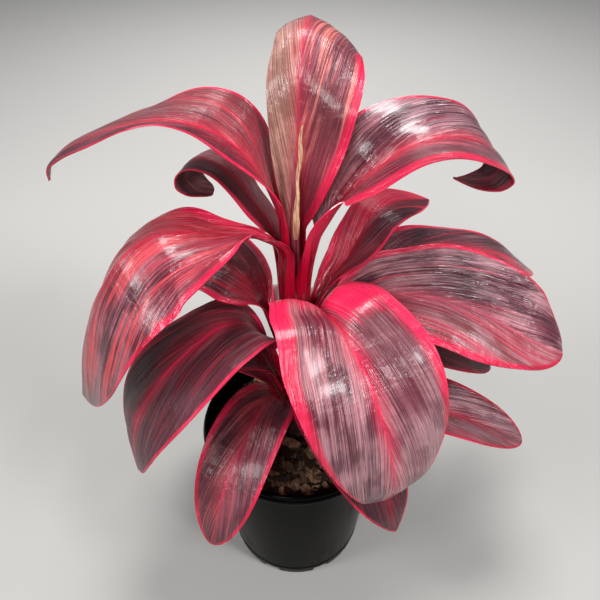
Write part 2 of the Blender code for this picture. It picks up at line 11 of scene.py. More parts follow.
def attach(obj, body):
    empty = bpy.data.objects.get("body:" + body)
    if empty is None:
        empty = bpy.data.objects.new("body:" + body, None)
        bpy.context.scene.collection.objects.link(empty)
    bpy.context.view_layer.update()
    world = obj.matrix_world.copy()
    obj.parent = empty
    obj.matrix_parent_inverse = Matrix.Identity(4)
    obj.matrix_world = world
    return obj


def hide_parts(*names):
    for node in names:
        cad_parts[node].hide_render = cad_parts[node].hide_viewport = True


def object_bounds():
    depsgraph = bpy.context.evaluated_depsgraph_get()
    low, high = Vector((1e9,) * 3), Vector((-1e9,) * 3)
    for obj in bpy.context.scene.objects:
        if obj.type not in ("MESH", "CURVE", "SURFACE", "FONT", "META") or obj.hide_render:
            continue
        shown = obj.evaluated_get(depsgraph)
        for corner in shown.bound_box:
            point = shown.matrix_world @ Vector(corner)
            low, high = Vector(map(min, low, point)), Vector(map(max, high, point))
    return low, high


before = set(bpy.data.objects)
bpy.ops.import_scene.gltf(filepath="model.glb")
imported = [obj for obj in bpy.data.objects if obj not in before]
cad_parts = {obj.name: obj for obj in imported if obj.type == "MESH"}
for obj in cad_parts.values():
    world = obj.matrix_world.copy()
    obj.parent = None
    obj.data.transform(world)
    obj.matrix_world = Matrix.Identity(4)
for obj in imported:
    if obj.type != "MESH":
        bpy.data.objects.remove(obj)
frame_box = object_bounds()

# shared with the frame, in metres, but the swing's reach in millimetres and the crowding as a share
MM = 0.001
POT_HEIGHT = 0.161
RIM_RADIUS = 0.0825
WALL_TOP_RADIUS = 0.079
FOOT_RADIUS = 0.0617
WALL = 0.0018
LIP_DEPTH = 0.009
FLOOR_THICKNESS = 0.0025
DRAIN_COUNT = 8
DRAIN_WIDTH = 0.015
DRAIN_HEIGHT = 0.006
DRAIN_REACH = 0.01
SOIL_TOP = 0.145
SOIL_GAP = 0.0003
CANE_SOCKET_DEPTH = 0.06
CANE_CLEARANCE = 0.0003
CANE_TOP = 0.3
CANE_RADIUS_LOW = 0.0092
CANE_RADIUS_HIGH = 0.008
CANE_RING_SPACING = 0.018
CANE_RING_RELIEF = 0.0006
YOUNG_DEPTH = 0.0038
STRIP_THICKNESS = 0.0012
STRIP_FOOT = 0.352
STRIP_SHIFT = 0.001
BLADE_THICKNESS = 0.0008
PETIOLE_THICKNESS = 0.0026
MIDRIB_DEPTH = 0.0014
BASE_HALF_WIDTH = 0.0096
BASE_WRAP_DEG = 54.0
PETIOLE_CHANNEL_DEG = 62.0
PETIOLE_HALF_WIDTH = 0.008
TIP_HALF_WIDTH = 0.0012
SWING_REACH = 24.0
END_CROWDING = 0.07
SEED = 7

# of the dressed pieces only: sizes in metres, counts and shares
FINE_STATIONS = 120
FINE_STRIPS = 26
VEIN_FAN = 0.4
VEIN_SLANT = 0.2
FOLDS_ACROSS = 58.0
FOLDS_ALONG = 8.0
SHEET_CLEARANCE = 0.6
LOBE_REACH = 14.0
LOBE_START = 0.19
LOBE_SHIFT = 0.07
PLAIN_GLOSS = 0.2
SPECULAR = 0.32
EVEN_OUTLINE = (0.6, 0.55)
EVEN_LIFT = [(0, 20, 10), (1, 10, -10)]
BASE_LEAVING = 0.14
BLADE_OPENING = 0.3
WAVE_LAG = 0.37
MIDRIB_NARROWING = 2.5
CURVE_STEPS = 24
LIFT_STEPS = 9
POT_EDGES = 160
SOIL_EDGES = 150
SOIL_STEPS = 46
SOIL_HEAP = 0.0012
FOOT_STEPS = ((0.006, 0.0008), (0.005, 0.0), (0.0014, 0.0), (0.0004, 0.0005), (0.0, 0.0014))
FOOT_RIDGE = ((0.0, 0.01), (-0.0004, 0.0104), (-0.0004, 0.0116), (0.0, 0.012))
LIP_SIDE = (
    (0.0014, 0.0), (0.0005, 0.0005), (0.0001, 0.0014), (0.0, 0.0026), (0.0002, 0.004),
    (0.0006, 0.0048), (0.0013, 0.005), (0.0013, 0.0056), (0.0011, 0.0066), (0.0014, 0.0078),
)
LIP_TOP = ((0.0022, -0.0004), (0.0032, 0.0), (0.0042, -0.0006), (0.0048, -0.0018))
RING_STEPS = (
    (0.0001, -0.006), (0.0003, -0.0026), (CANE_RING_RELIEF, -0.0012), (0.0, -0.0002), (0.0, 0.0006),
    (0.0002, 0.0016),
)
CANE_EDGES = 48
YOUNG_EDGES = 36
YOUNG_HEIGHT = 0.112
YOUNG_TWIST = 22.0
STRIP_WIDTH = 0.0046
STRIP_HEIGHT = 0.079
BARK_COUNT = 520
GRIT_COUNT = 420
CHIP_PATTERNS = 6
CHIPS_FROM = 0.0125
CHIPS_SPARED = 0.014
CHIP_ROUGHNESS = 0.035
LEAF_SEED_STEP = 5.0

# the setting
FLOOR_SIZE = 8.0
FLOOR_DROP = 0.0003
PLANT_MIDDLE = (0.0, 0.0, 0.25)
SKY_TONE = (0.93, 0.95, 1.0, 1.0)
SKY_STRENGTH = 0.21
LENS_MM = 35.2
SENSOR_MM = 36.0
CAMERA_PLACE = (0.0036, -0.339, 0.572)
CAMERA_TILT_DEG = 50.8

# every leaf: azimuth in degrees, height at the cane, then its midrib as (reach, height) in millimetres,
# the share of its length that is petiole, and the half widths right and left of the midrib looking
# outward; the wave is its height in millimetres, its turns and its phase; where they are given, the
# swing is how far round the cane the leaf starts and the veer how far it turns aside by its tip, in
# degrees, the outline holds the powers at base and tip (the right half's, then the left's where it
# differs), the lift of both halves or of each is in degrees as (share of the blade, at the midrib, at
# the margin), and the stalk is the half width of a petiole that is broader than most
LEAVES = {
    "leaf_top_centre": dict(
        azimuth=80, node=290,
        midrib=[(9, 304), (9, 322), (9, 345), (10, 368), (11, 400), (15, 430), (22, 457), (36, 475),
            (58, 478), (82, 464), (98, 438)],
        petiole=0.24, right=42, left=22, outline=(0.62, 0.34), wave=(2.0, 1.5, 0.1),
        lift_right=[(0, 40, 35), (0.35, 18, -4), (0.6, -16, -50), (1, -20, -45)],
        lift_left=[(0, 40, 35), (0.35, 25, 5), (0.6, -10, -45), (1, -20, -45)]),
    "leaf_upper_left": dict(
        azimuth=187, node=284,
        midrib=[(10, 298), (9, 320), (9, 345), (11, 367), (16, 386), (24, 403), (37, 420), (57, 433),
            (76, 437), (98, 435), (118, 429), (136, 422), (147, 413), (149, 404)],
        petiole=0.32, swing=8, right=34, left=15, outline=(0.6, 0.85, 0.8, 0.62),
        wave=(2.0, 1.5, 0.4),
        lift_right=[(0, 20, 15), (0.3, 38, 28), (0.6, 5, -10), (1, -5, -20)],
        lift_left=[(0, -10, -20), (0.3, -10, -20), (0.6, 15, 5), (1, 15, -10)]),
    "leaf_curled_small": dict(
        azimuth=163, node=252,
        midrib=[(12, 263), (14, 275), (14, 300), (15, 322), (19, 346), (27, 367), (38, 385), (51, 397),
            (65, 400), (76, 394), (79, 383), (71, 375), (59, 374)],
        petiole=0.38, swing=-28, right=20, left=18, outline=(0.9, 0.4), wave=(1.0, 1.5, 0.2),
        lift_right=[(0, 20, 0), (1, -5, -15)],
        lift_left=[(0, 0, -10), (0.5, 8, 0), (1, -15, -20)]),
    "leaf_upper_right": dict(
        azimuth=7, node=276,
        midrib=[(10, 290), (11, 310), (13, 328), (16, 344), (19, 357), (25, 369), (34, 381), (48, 394),
            (62, 406), (76, 414), (92, 418), (108, 417), (123, 412), (134, 404), (138, 395), (132, 387),
            (119, 386), (106, 389)],
        petiole=0.27, swing=-43.5, right=36, left=38, outline=(0.8, 0.8, 0.46, 0.95), stalk=10.5,
        wave=(2.0, 2.0, 0.0),
        lift_right=[(0, 30, 20), (0.4, 10, 0), (1, -5, -10)],
        lift_left=[(0, 34, 36), (0.3, 52, 52), (0.6, 26, 18), (0.85, -5, -20)]),
    "leaf_right_folded": dict(
        azimuth=34, node=262,
        midrib=[(13, 274), (20, 289), (33, 303), (48, 315), (59, 331), (70, 345), (87, 350), (109, 346),
            (127, 340)],
        petiole=0.22, swing=-14, right=23, left=21, outline=(0.75, 0.75, 0.8, 0.8),
        wave=(1.0, 1.0, 0.3),
        lift_right=[(0, 40, 30), (0.5, 0, -12), (1, -10, -20)],
        lift_left=[(0, 60, 60), (0.5, 15, 5), (1, 10, 0)]),
    "leaf_right_back": dict(
        azimuth=22, node=234,
        midrib=[(13, 246), (19, 260), (32, 277), (60, 298), (92, 311), (122, 310), (160, 300),
            (196, 283), (228, 259)],
        petiole=0.16, right=28, left=30, outline=(0.7, 0.6), wave=(2.5, 2.0, 0.6),
        lift_right=[(0, 0, -10), (0.5, -10, -25), (1, 0, -15)],
        lift_left=[(0, 20, 10), (1, 10, 0)]),
    "leaf_right_large": dict(
        azimuth=-7, node=248,
        midrib=[(13, 259), (18, 272), (29, 286), (43, 298), (65, 307), (90, 308), (112, 305),
            (134, 297), (154, 286), (174, 275), (201, 264)],
        petiole=0.2, right=47, left=56, outline=(0.55, 0.62, 0.6, 0.46), wave=(2.5, 2.0, 0.2),
        lift_right=[(0, 0, -10), (0.5, 5, -15), (1, 0, -15)],
        lift_left=[(0, 20, 10), (0.5, 18, 8), (0.85, 38, 28), (1, 24, 14)]),
    "leaf_front_large": dict(
        azimuth=294.5, node=222, veer=5,
        midrib=[(14, 234), (19, 250), (24, 278), (31, 303), (46, 317), (66, 321), (88, 315), (108, 300),
            (124, 278), (133, 254), (136, 232), (130, 212)],
        petiole=0.28, right=51, left=49, outline=(0.44, 0.66, 0.42, 0.44), wave=(2.0, 1.5, 0.5),
        lift_right=[(0, 215, -170), (0.1, 165, -130), (0.22, 55, -30), (0.4, 15, -15), (1, 0, -20)],
        lift_left=[(0, 260, -200), (0.1, 190, -140), (0.22, 64, -28), (0.35, 24, -8), (1, 5, -10)]),
    "leaf_left_large": dict(
        azimuth=200, node=262,
        midrib=[(12, 272), (14, 282), (14, 305), (14, 328), (14, 342), (18, 352), (26, 358), (37, 361),
            (51, 363), (72, 370), (92, 372), (112, 363), (134, 336), (152, 296), (162, 254)],
        petiole=0.33, swing=38, right=55, left=56, outline=(0.95, 0.6, 0.55, 0.5),
        wave=(3.0, 1.5, 0.3),
        lift_right=[(0, 20, 10), (0.4, -15, -35), (1, -10, -25)],
        lift_left=[(0, -10, -15), (0.4, -20, -35), (1, -10, -20)]),
    "leaf_left_lower": dict(
        azimuth=213, node=206,
        midrib=[(14, 221), (20, 240), (29, 270), (42, 292), (62, 297), (84, 290), (102, 279),
            (118, 264), (131, 246), (139, 223), (141, 195)],
        petiole=0.22, swing=-3, right=44, left=45, outline=(0.7, 0.55, 0.7, 0.72),
        wave=(2.0, 1.5, 0.0),
        lift_right=[(0, 10, 10), (0.4, -5, -15), (1, 0, -10)],
        lift_left=[(0, 0, -10), (0.4, 6, 0), (1, 5, -5)]),
    "leaf_front_lower": dict(
        azimuth=243, node=170,
        midrib=[(14, 183), (20, 199), (36, 221), (60, 227), (85, 220), (104, 207), (120, 188),
            (134, 163)],
        petiole=0.16, right=27, left=28, wave=(1.0, 1.5, 0.5)),
    "leaf_right_lower": dict(
        azimuth=-15, node=160,
        midrib=[(13, 175), (29, 193), (60, 205), (92, 208), (126, 206), (155, 200), (186, 191)],
        petiole=0.25, right=32, left=32, outline=(0.7, 0.55), wave=(1.0, 1.5, 0.7),
        lift_right=[(0, 30, 20), (1, 20, 10)],
        lift_left=[(0, 20, 15), (1, 10, 0)]),
    "leaf_front_under": dict(
        azimuth=303, node=186,
        midrib=[(14, 198), (20, 213), (36, 234), (64, 232), (90, 219), (112, 202), (128, 185),
            (135, 170)],
        petiole=0.19, right=36, left=36, outline=(0.45, 0.7), wave=(1.0, 1.5, 0.1),
        lift=[(0, 10, 0), (1, 0, -15)]),
    "leaf_right_under": dict(
        azimuth=-3, node=200,
        midrib=[(14, 212), (20, 226), (34, 243), (62, 257), (100, 255), (132, 246), (156, 234)],
        petiole=0.25, right=26, left=26, outline=(0.7, 0.55), wave=(1.0, 1.0, 0.4),
        lift=[(0, 20, 10), (1, 10, 0)]),
    "leaf_left_middle": dict(
        azimuth=168, node=238,
        midrib=[(13, 249), (18, 265), (24, 284), (30, 298), (41, 314), (56, 325), (82, 328), (108, 320),
            (124, 309), (134, 297)],
        petiole=0.26, swing=14, right=34, left=38, wave=(1.0, 1.5, 0.6),
        lift_right=[(0, 20, 10), (1, 5, -10)],
        lift_left=[(0, -20, -30), (0.5, 5, -10), (1, 0, -20)]),
    "leaf_left_under": dict(
        azimuth=176, node=190,
        midrib=[(15, 205), (22, 221), (36, 240), (58, 247), (84, 243), (108, 230), (128, 210)],
        petiole=0.2, right=28, left=30, wave=(1.0, 1.5, 0.2),
        lift_right=[(0, 20, 10), (1, 10, 0)],
        lift_left=[(0, 0, -10), (1, 0, -20)]),
    "leaf_back_right": dict(
        azimuth=50, node=216,
        midrib=[(13, 227), (18, 240), (32, 255), (56, 264), (92, 260), (128, 241), (152, 212),
            (160, 187)],
        petiole=0.22, right=38, left=38, wave=(2.0, 1.5, 0.3)),
    "leaf_back": dict(
        azimuth=82, node=179,
        midrib=[(13, 190), (26, 212), (52, 232), (86, 232), (120, 214), (144, 186)],
        petiole=0.22, right=36, left=36, wave=(2.0, 1.5, 0.8)),
    "leaf_back_left": dict(
        azimuth=145, node=160,
        midrib=[(12, 172), (23, 190), (48, 206), (80, 205), (110, 188), (132, 162)],
        petiole=0.22, right=30, left=30, wave=(1.0, 1.5, 0.5)),
}

# leaf tones
MAROON = (0.05, 0.01, 0.016)
WINE = (0.09, 0.012, 0.023)
PLUM = (0.098, 0.016, 0.03)
SIENNA = (0.155, 0.027, 0.036)
CLAY = (0.235, 0.05, 0.055)
MAUVE = (0.205, 0.05, 0.072)
ASH = (0.35, 0.118, 0.15)
SILVER = (0.335, 0.15, 0.18)
FROST = (0.455, 0.216, 0.246)
RUST = (0.3, 0.14, 0.105)
TAN = (0.6, 0.31, 0.25)
CORAL = (0.64, 0.065, 0.08)
ROSE = (0.52, 0.032, 0.072)
SCARLET = (0.58, 0.012, 0.045)
BLUSH = (0.64, 0.09, 0.145)
PEACH = (0.76, 0.2, 0.17)
HOT_PINK = (0.74, 0.012, 0.072)
CRIMSON = (0.4, 0.004, 0.03)
BLOOD = (0.15, 0.001, 0.01)
GARNET = (0.53, 0.002, 0.028)
DULL_ROSE = (0.24, 0.04, 0.055)
INK = (0.016, 0.003, 0.007)

# tones of the pot, the soil and its bark, the cane, the crown and the floor
PLASTIC = (0.001, 0.0008, 0.0006)
DUST = (0.0046, 0.0036, 0.0026)
SPECK = (0.08, 0.062, 0.045)
DAMP_MIX = (0.01, 0.0045, 0.002)
DRY_MIX = (0.05, 0.024, 0.012)
CRUMB = (0.115, 0.07, 0.042)
BARK_DEEP = (0.04, 0.017, 0.007)
BARK_LIGHT = (0.48, 0.29, 0.165)
GRIT_DEEP = (0.03, 0.013, 0.006)
GRIT_LIGHT = (0.26, 0.15, 0.085)
CREVICE = (0.006, 0.003, 0.002)
WEATHERED = (0.2, 0.15, 0.11)
YOUNG_WOOD = (0.15, 0.01, 0.02)
OLD_WOOD = (0.12, 0.062, 0.045)
CORK = (0.035, 0.01, 0.01)
RING = (0.26, 0.15, 0.11)
MAGENTA = (0.22, 0.02, 0.05)
PALE_MAGENTA = (0.5, 0.11, 0.16)
FIBRE = (0.42, 0.17, 0.09)
CREAM = (0.72, 0.5, 0.3)
FLOOR_TONE = (0.385, 0.378, 0.362)
FLOOR_CLOUD = (0.405, 0.396, 0.38)
# painted light: the far floor's tone, lighter where the lamps light it less
FLOOR_FAR_PAINTED_LIGHT = (0.53, 0.52, 0.5)

# the dress of every leaf: for its left and its right half the deep tone, the bloom over it, how much of
# it the pink stripes take, the margin's width in centimetres at tip and base, the share of dark streaks,
# and how strongly the base is flushed (the right half is as the left where it isn't given); then the
# stripes' tone, the midrib's tone, how far the crimson of the petiole runs into the blade, the height of
# its folds in millimetres, its gloss, and how much painted shade darkens a blade with lifted lobes
# between them
DRESS = {
    "leaf_top_centre": dict(
        left=(RUST, TAN, -0.1, 0.002, 0.004, 0.35, 0.0),
        right=(SIENNA, MAUVE, 0.03, 0.45, 0.8, 0.5, 0.3),
        stripe=PEACH, rib=ROSE, base=0.16, folds=0.9),
    "leaf_upper_left": dict(
        left=(MAROON, PLUM, -0.02, 0.1, 0.22, 0.5, 0.3),
        right=(SIENNA, CLAY, -0.06, 0.08, 0.25, 0.5, 0.5),
        stripe=ROSE, rib=SCARLET, base=0.18, folds=1.0),
    "leaf_curled_small": dict(
        left=(WINE, SIENNA, -0.08, 0.16, 0.35, 0.5, 0.2),
        right=(CLAY, FROST, -0.08, 0.06, 0.12, 0.6, 0.0),
        stripe=ROSE, rib=CRIMSON, base=0.16, folds=0.5, gloss=0.1),
    "leaf_upper_right": dict(
        left=(PLUM, SILVER, -0.04, 0.16, 0.3, 1.0, 0.2),
        right=(WINE, MAUVE, 0.01, 0.6, 1.3, 0.8, 0.6),
        stripe=ROSE, rib=SCARLET, base=0.16, folds=1.0, gloss=0.35),
    "leaf_right_folded": dict(
        left=(CRIMSON, ROSE, 0.03, 0.15, 0.7, 0.5, 0.5),
        right=(MAROON, WINE, -0.03, 0.14, 0.3, 0.8, 0.5),
        stripe=SCARLET, rib=CRIMSON, base=0.3, folds=0.6, gloss=0.12),
    "leaf_right_back": dict(
        left=(MAROON, PLUM, -0.04, 0.3, 0.6, 1.0, 0.2),
        right=(WINE, ROSE, 0.05, 0.7, 1.2, 0.6, 1.0),
        stripe=CRIMSON, rib=SCARLET, base=0.2, folds=0.8),
    "leaf_right_large": dict(
        left=(PLUM, FROST, -0.03, 0.22, 0.9, 1.0, 0.1),
        right=(CLAY, FROST, 0.05, 0.42, 1.2, 0.6, 1.0),
        stripe=ROSE, rib=BLUSH, base=0.14, folds=1.2, gloss=0.3),
    "leaf_front_large": dict(
        left=(MAUVE, FROST, -0.06, 0.16, 1.9, 0.5, 0.3),
        right=(PLUM, FROST, -0.05, 0.18, 1.7, 0.6, 0.4),
        stripe=ROSE, rib=HOT_PINK, base=0.07, folds=0.8, lobe_shade=0.75),
    "leaf_left_large": dict(
        left=(WINE, ASH, 0.03, 0.22, 0.6, 0.6, 0.7),
        right=(CRIMSON, SCARLET, 0.05, 0.3, 0.8, 0.4, 1.0),
        stripe=CORAL, rib=SCARLET, base=0.1, folds=2.8, gloss=0.28),
    "leaf_left_lower": dict(
        left=(WINE, PLUM, -0.02, 0.2, 0.35, 0.6, 0.3),
        right=(MAROON, WINE, 0.01, 0.35, 0.5, 0.6, 0.6),
        stripe=SCARLET, rib=HOT_PINK, base=0.14, folds=0.9, gloss=0.06),
    "leaf_front_lower": dict(
        left=(WINE, MAUVE, -0.02, 0.26, 0.6, 0.8, 0.2),
        right=(WINE, CLAY, 0.0, 0.32, 0.95, 0.8, 0.2),
        stripe=CORAL, rib=ROSE, base=0.06, folds=0.7),
    "leaf_right_lower": dict(
        left=(MAUVE, FROST, 0.0, 0.34, 0.55, 0.8, 0.3),
        right=(CLAY, FROST, 0.03, 0.3, 0.45, 0.6, 0.6),
        stripe=ROSE, rib=ROSE, base=0.1, folds=0.7),
    "leaf_front_under": dict(
        left=(MAROON, WINE, -0.02, 0.16, 0.3, 0.8, 0.0),
        right=(MAROON, WINE, -0.02, 0.18, 0.35, 0.8, 0.0),
        stripe=CRIMSON, rib=CRIMSON, base=0.1, folds=0.6),
    "leaf_right_under": dict(
        left=(MAROON, PLUM, -0.02, 0.2, 0.3, 0.8, 0.0),
        right=(WINE, MAUVE, 0.0, 0.35, 0.45, 0.8, 0.3),
        stripe=ROSE, rib=CRIMSON, base=0.1, folds=0.6),
    "leaf_left_middle": dict(
        left=(MAROON, WINE, 0.0, 0.2, 0.6, 0.8, 0.4),
        right=(MAROON, PLUM, -0.02, 0.14, 0.35, 0.8, 0.3),
        stripe=CRIMSON, rib=CRIMSON, base=0.34, folds=0.7),
    "leaf_left_under": dict(
        left=(MAROON, WINE, -0.01, 0.18, 0.45, 0.8, 0.3),
        right=(MAROON, PLUM, -0.02, 0.14, 0.35, 0.8, 0.3),
        stripe=CRIMSON, rib=CRIMSON, base=0.26, folds=0.6),
    "leaf_back_right": dict(
        left=(WINE, MAUVE, 0.0, 0.16, 0.45, 0.8, 0.3),
        stripe=ROSE, rib=SCARLET, base=0.12, folds=0.9),
    "leaf_back": dict(
        left=(WINE, MAUVE, 0.0, 0.16, 0.45, 0.8, 0.3),
        right=(WINE, MAUVE, 0.01, 0.16, 0.45, 0.8, 0.3),
        stripe=ROSE, rib=SCARLET, base=0.12, folds=0.9),
    "leaf_back_left": dict(
        left=(MAROON, PLUM, 0.0, 0.16, 0.4, 0.8, 0.3),
        stripe=CRIMSON, rib=CRIMSON, base=0.12, folds=0.7),
}


def arithmetic(operation, turned=False):
    """An operator that adds the node for it, its two values turned round where asked."""
    def operator(self, other):
        return self.finish.maths(operation, *((other, self) if turned else (self, other)))
    return operator


class Signal:
    """A value carried by a socket; arithmetic on it adds the nodes that work it out."""

    def __init__(self, finish, socket):
        self.finish = finish
        self.socket = socket

    def __abs__(self):
        return self.finish.maths("ABSOLUTE", self)

    __add__ = arithmetic("ADD")
    __radd__ = arithmetic("ADD", True)
    __sub__ = arithmetic("SUBTRACT")
    __rsub__ = arithmetic("SUBTRACT", True)
    __mul__ = arithmetic("MULTIPLY")
    __rmul__ = arithmetic("MULTIPLY", True)
    __truediv__ = arithmetic("DIVIDE")


class Finish:
    """A material whose pattern is written as expressions."""

    def __init__(self, name, specular, coat=0.0, coat_roughness=0.03):
        self.material = bpy.data.materials.new(name)
        self.material.use_nodes = True
        self.tree = self.material.node_tree
        self.shader = self.tree.nodes["Principled BSDF"]
        self.shader.inputs["Specular IOR Level"].default_value = specular
        self.shader.inputs["Coat Weight"].default_value = coat
        self.shader.inputs["Coat Roughness"].default_value = coat_roughness

    def join(self, value, socket):
        if isinstance(value, Signal):
            self.tree.links.new(value.socket, socket)
        else:
            socket.default_value = (*value, 1.0) if socket.type == "RGBA" else value

    def node(self, kind, settings, sockets):
        """Any node: its settings first, then what its sockets hold or are linked to."""
        made = self.tree.nodes.new(kind)
        for key, value in settings.items():
            setattr(made, key, value)
        for key, value in sockets.items():
            self.join(value, made.inputs[key])
        return made

    def signal(self, kind, settings, sockets, output=0):
        return Signal(self, self.node(kind, settings, sockets).outputs[output])

    def maths(self, operation, *values):
        return self.signal("ShaderNodeMath", {"operation": operation}, dict(enumerate(values)))

    def place(self, x, y, z):
        return self.signal("ShaderNodeCombineXYZ", {}, {"X": x, "Y": y, "Z": z})

    def parts(self, vector):
        made = self.node("ShaderNodeSeparateXYZ", {}, {0: vector})
        return [Signal(self, socket) for socket in made.outputs]

    def map(self, name):
        """The two values of one of the piece's own maps."""
        return self.parts(self.signal("ShaderNodeUVMap", {"uv_map": name}, {}, "UV"))[:2]

    def here(self):
        """The place on the object, in metres."""
        return self.signal("ShaderNodeTexCoord", {}, {}, "Object")

    def tone(self, name):
        """A value that the piece carries on its points."""
        return self.signal("ShaderNodeAttribute", {"attribute_name": name}, {}, "Fac")

    def noise(self, vector, scale=1.0, detail=2.0, roughness=0.5):
        sockets = {"Vector": vector, "Scale": scale, "Detail": detail, "Roughness": roughness}
        return self.signal("ShaderNodeTexNoise", {"noise_dimensions": "3D"}, sockets)

    def drawn(self, vector, scales, detail, roughness=0.5):
        """Noise drawn out by a scale of its own along each axis."""
        spread = [part * scale for part, scale in zip(self.parts(vector), scales)]
        return self.noise(self.place(*spread), 1.0, detail, roughness)

    def cells(self, vector, scale):
        sockets = {"Vector": vector, "Scale": scale}
        return self.signal("ShaderNodeTexVoronoi", {"feature": "F1"}, sockets, "Distance")

    def step(self, value, low, high):
        """Rises smoothly from nought to one between low and high."""
        sockets = {"Value": value, "From Min": low, "From Max": high}
        return self.signal("ShaderNodeMapRange", {"interpolation_type": "SMOOTHSTEP"}, sockets, "Result")

    def mix(self, one, two, share):
        return self.signal("ShaderNodeMix", {"data_type": "RGBA"}, {"Factor": share, 6: one, 7: two}, 2)

    def done(self, colour, roughness, relief=None, coat=None):
        """Links what was worked out to the shader; the relief is its height, strength and distance."""
        worked = {"Base Color": colour, "Roughness": roughness, "Coat Weight": coat}
        if relief:
            sockets = dict(zip(("Height", "Strength", "Distance"), relief))
            worked["Normal"] = self.signal("ShaderNodeBump", {}, sockets, "Normal")
        for socket, value in worked.items():
            if value is not None:
                self.join(value, self.shader.inputs[socket])
        return self.material


def leaf_finish(name, petiole, seed, upper):
    """Fine veins and pink stripes along the blade, bright margins, a crimson petiole, a satin bloom;
    painted highlights on the vein ridges and in the margins, and painted shade between lifted lobes.
    """
    dress = DRESS[name]
    gloss = dress.get("gloss", PLAIN_GLOSS)
    lobe_shade = dress.get("lobe_shade", 0.0)
    title = name.replace("_", " ") + (" upper side" if upper else " underside")
    finish = Finish(title, SPECULAR + gloss if upper else SPECULAR, coat_roughness=0.17)
    step, mix = finish.step, finish.mix
    across, along = finish.map("leaf")
    drift, run = finish.map("veins")
    inset, reach = finish.map("edge")
    right = finish.maths("GREATER_THAN", across, 0.5)
    kind = right * 31.0 + seed
    blade = (along - petiole) / (1.0 - petiole)
    wander = finish.noise(finish.place(run * 0.20, drift * 0.25, kind), detail=1.0) - 0.5
    lane = drift + wander * 0.9

    def streaks(place, across_scale, along_scale, shift, detail=1.0):
        """Noise drawn out along the veins."""
        spot = finish.place(place * across_scale, run * along_scale, kind + shift)
        return finish.noise(spot, detail=detail)

    def halves(index):
        """The value of the half that a point lies on."""
        left_value = dress["left"][index]
        right_value = dress.get("right", dress["left"])[index]
        if left_value == right_value:
            return left_value
        if isinstance(left_value, tuple):
            return mix(left_value, right_value, right)
        return left_value + (right_value - left_value) * right

    thread = streaks(drift, 26.0, 0.20, 0.0)
    fine = streaks(drift, 12.0, 0.14, 3.0)
    medium = streaks(lane, 3.0, 0.09, 7.0, 2.0)
    broad = streaks(lane, 0.85, 0.07, 11.0)
    patch = streaks(drift, 0.50, 0.30, 17.0, 3.0)
    dashes = streaks(drift, 6.0, 0.50, 23.0)
    ripple = streaks(drift, 0.9, 1.5, 43.0, 2.0)
    hairs = streaks(drift, 8.0, 0.07, 37.0, 0.0)
    veins = streaks(drift, 5.0, 0.05, 31.0, 0.0)
    # the vein ridges: raised in the relief, and given a painted highlight in the colour
    ridge_relief_and_highlight = step(abs(veins - 0.5), 0.050, 0.005)

    taper = step(blade, 0.75, 0.0)
    bloom = step(patch + medium * 0.25 + fine * 0.40 + thread * 0.25, 0.83, 1.08)
    flush = step(taper * 0.45 + medium * 0.5 + patch * 0.5, 0.62, 0.96)
    furrow = step(fine * 0.6 + thread * 0.4, 0.53, 0.40)
    speck = step(dashes, 0.56, 0.66) * step(patch, 0.40, 0.58)
    layers = [
        (SCARLET, flush * halves(6)),
        (INK, furrow * (0.6 * halves(5))),
        (INK, speck * (0.65 * halves(5))),
        # painted glint: pale ash lines on the high vein threads
        (ASH, step(thread * 0.4 + fine * 0.6, 0.55, 0.65) * 0.22),
        # painted highlight: silver lines along the vein ridges
        (SILVER, ridge_relief_and_highlight * 0.35),
        (INK, step(abs(hairs - 0.5), 0.050, 0.012) * (0.55 * halves(5))),
    ]
    width = halves(3) + (halves(4) - halves(3)) * taper
    # painted shade: the blade darkened near its base in the valley between the lifted lobes, whose pink
    # margins also run wider
    if lobe_shade:
        valley_shade = step(blade + (medium - 0.5) * 0.25 + (patch - 0.5) * 0.2, 0.62, 0.30)
        layers.append((WINE, valley_shade * (1.0 - right * 0.8) * lobe_shade))
        heel = (blade - LOBE_START + right * LOBE_SHIFT) * LOBE_REACH + step(reach, 0.7, 0.2) * 4.0
        inset = finish.maths("MINIMUM", inset, heel)
    band = step(broad * 0.45 + medium * 0.55 + halves(2), 0.56, 0.63)
    line = step(abs(broad - 0.5), 0.020, 0.005) * step(halves(2) + patch * 0.2, 0.10, 0.18)
    stripe = finish.maths("MAXIMUM", band, line)
    glow = step(reach + (medium - 0.5) * 1.2, 1.1, 0.1) * step(blade, 1.0, 0.5)
    ragged = inset + (medium - 0.5) * 0.9 * width + (fine - 0.5) * 0.5 * width
    margin = step(ragged, width * 1.22, width * 0.60)
    warm = step(medium * 0.5 + patch * 0.5 + taper * 0.2, 0.42, 0.62)
    # painted highlight: pale blush patches in the pink margins
    margin_highlight = step(fine * 0.4 + patch * 0.6, 0.54, 0.68) * 0.5
    rib = step(reach + (fine - 0.5) * 0.08 + blade * 0.08, 0.22, 0.12) * (0.95 - blade * 0.6)
    stalk = step(blade + (medium - 0.5) * 0.14 + (fine - 0.5) * 0.10, dress["base"], 0.0)
    layers += [
        (dress["stripe"], stripe * (0.35 + fine * 0.7)),
        (dress["rib"], glow * 0.38),
        (mix(mix(CRIMSON, HOT_PINK, warm), BLUSH, margin_highlight), margin * 0.94),
        (dress["rib"], rib),
        (mix(BLOOD, GARNET, step(medium * 0.6 + fine * 0.4, 0.36, 0.54)), stalk),
        (INK, step(thread * 0.5 + fine * 0.5, 0.46, 0.38) * stalk * 0.5),
    ]
    if not upper:
        layers.append((DULL_ROSE, 0.35))
    surface = mix(halves(0), halves(1), bloom)
    for tone, share in layers:
        surface = mix(surface, tone, share)
    roughness = 0.44 - gloss * 0.8 + (fine - 0.5) * 0.35 + (patch - 0.5) * 0.40 - stalk * 0.16
    folded = medium * (0.6 + 0.7 * dress["folds"])
    height = fine * 0.8 + thread * 0.4 + folded + ridge_relief_and_highlight * 0.5 + ripple * 1.2
    relief = (height, 0.9 if upper else 0.5, 0.0009)
    return finish.done(surface, roughness, relief, stalk * 0.55 + (gloss if upper else 0.05))


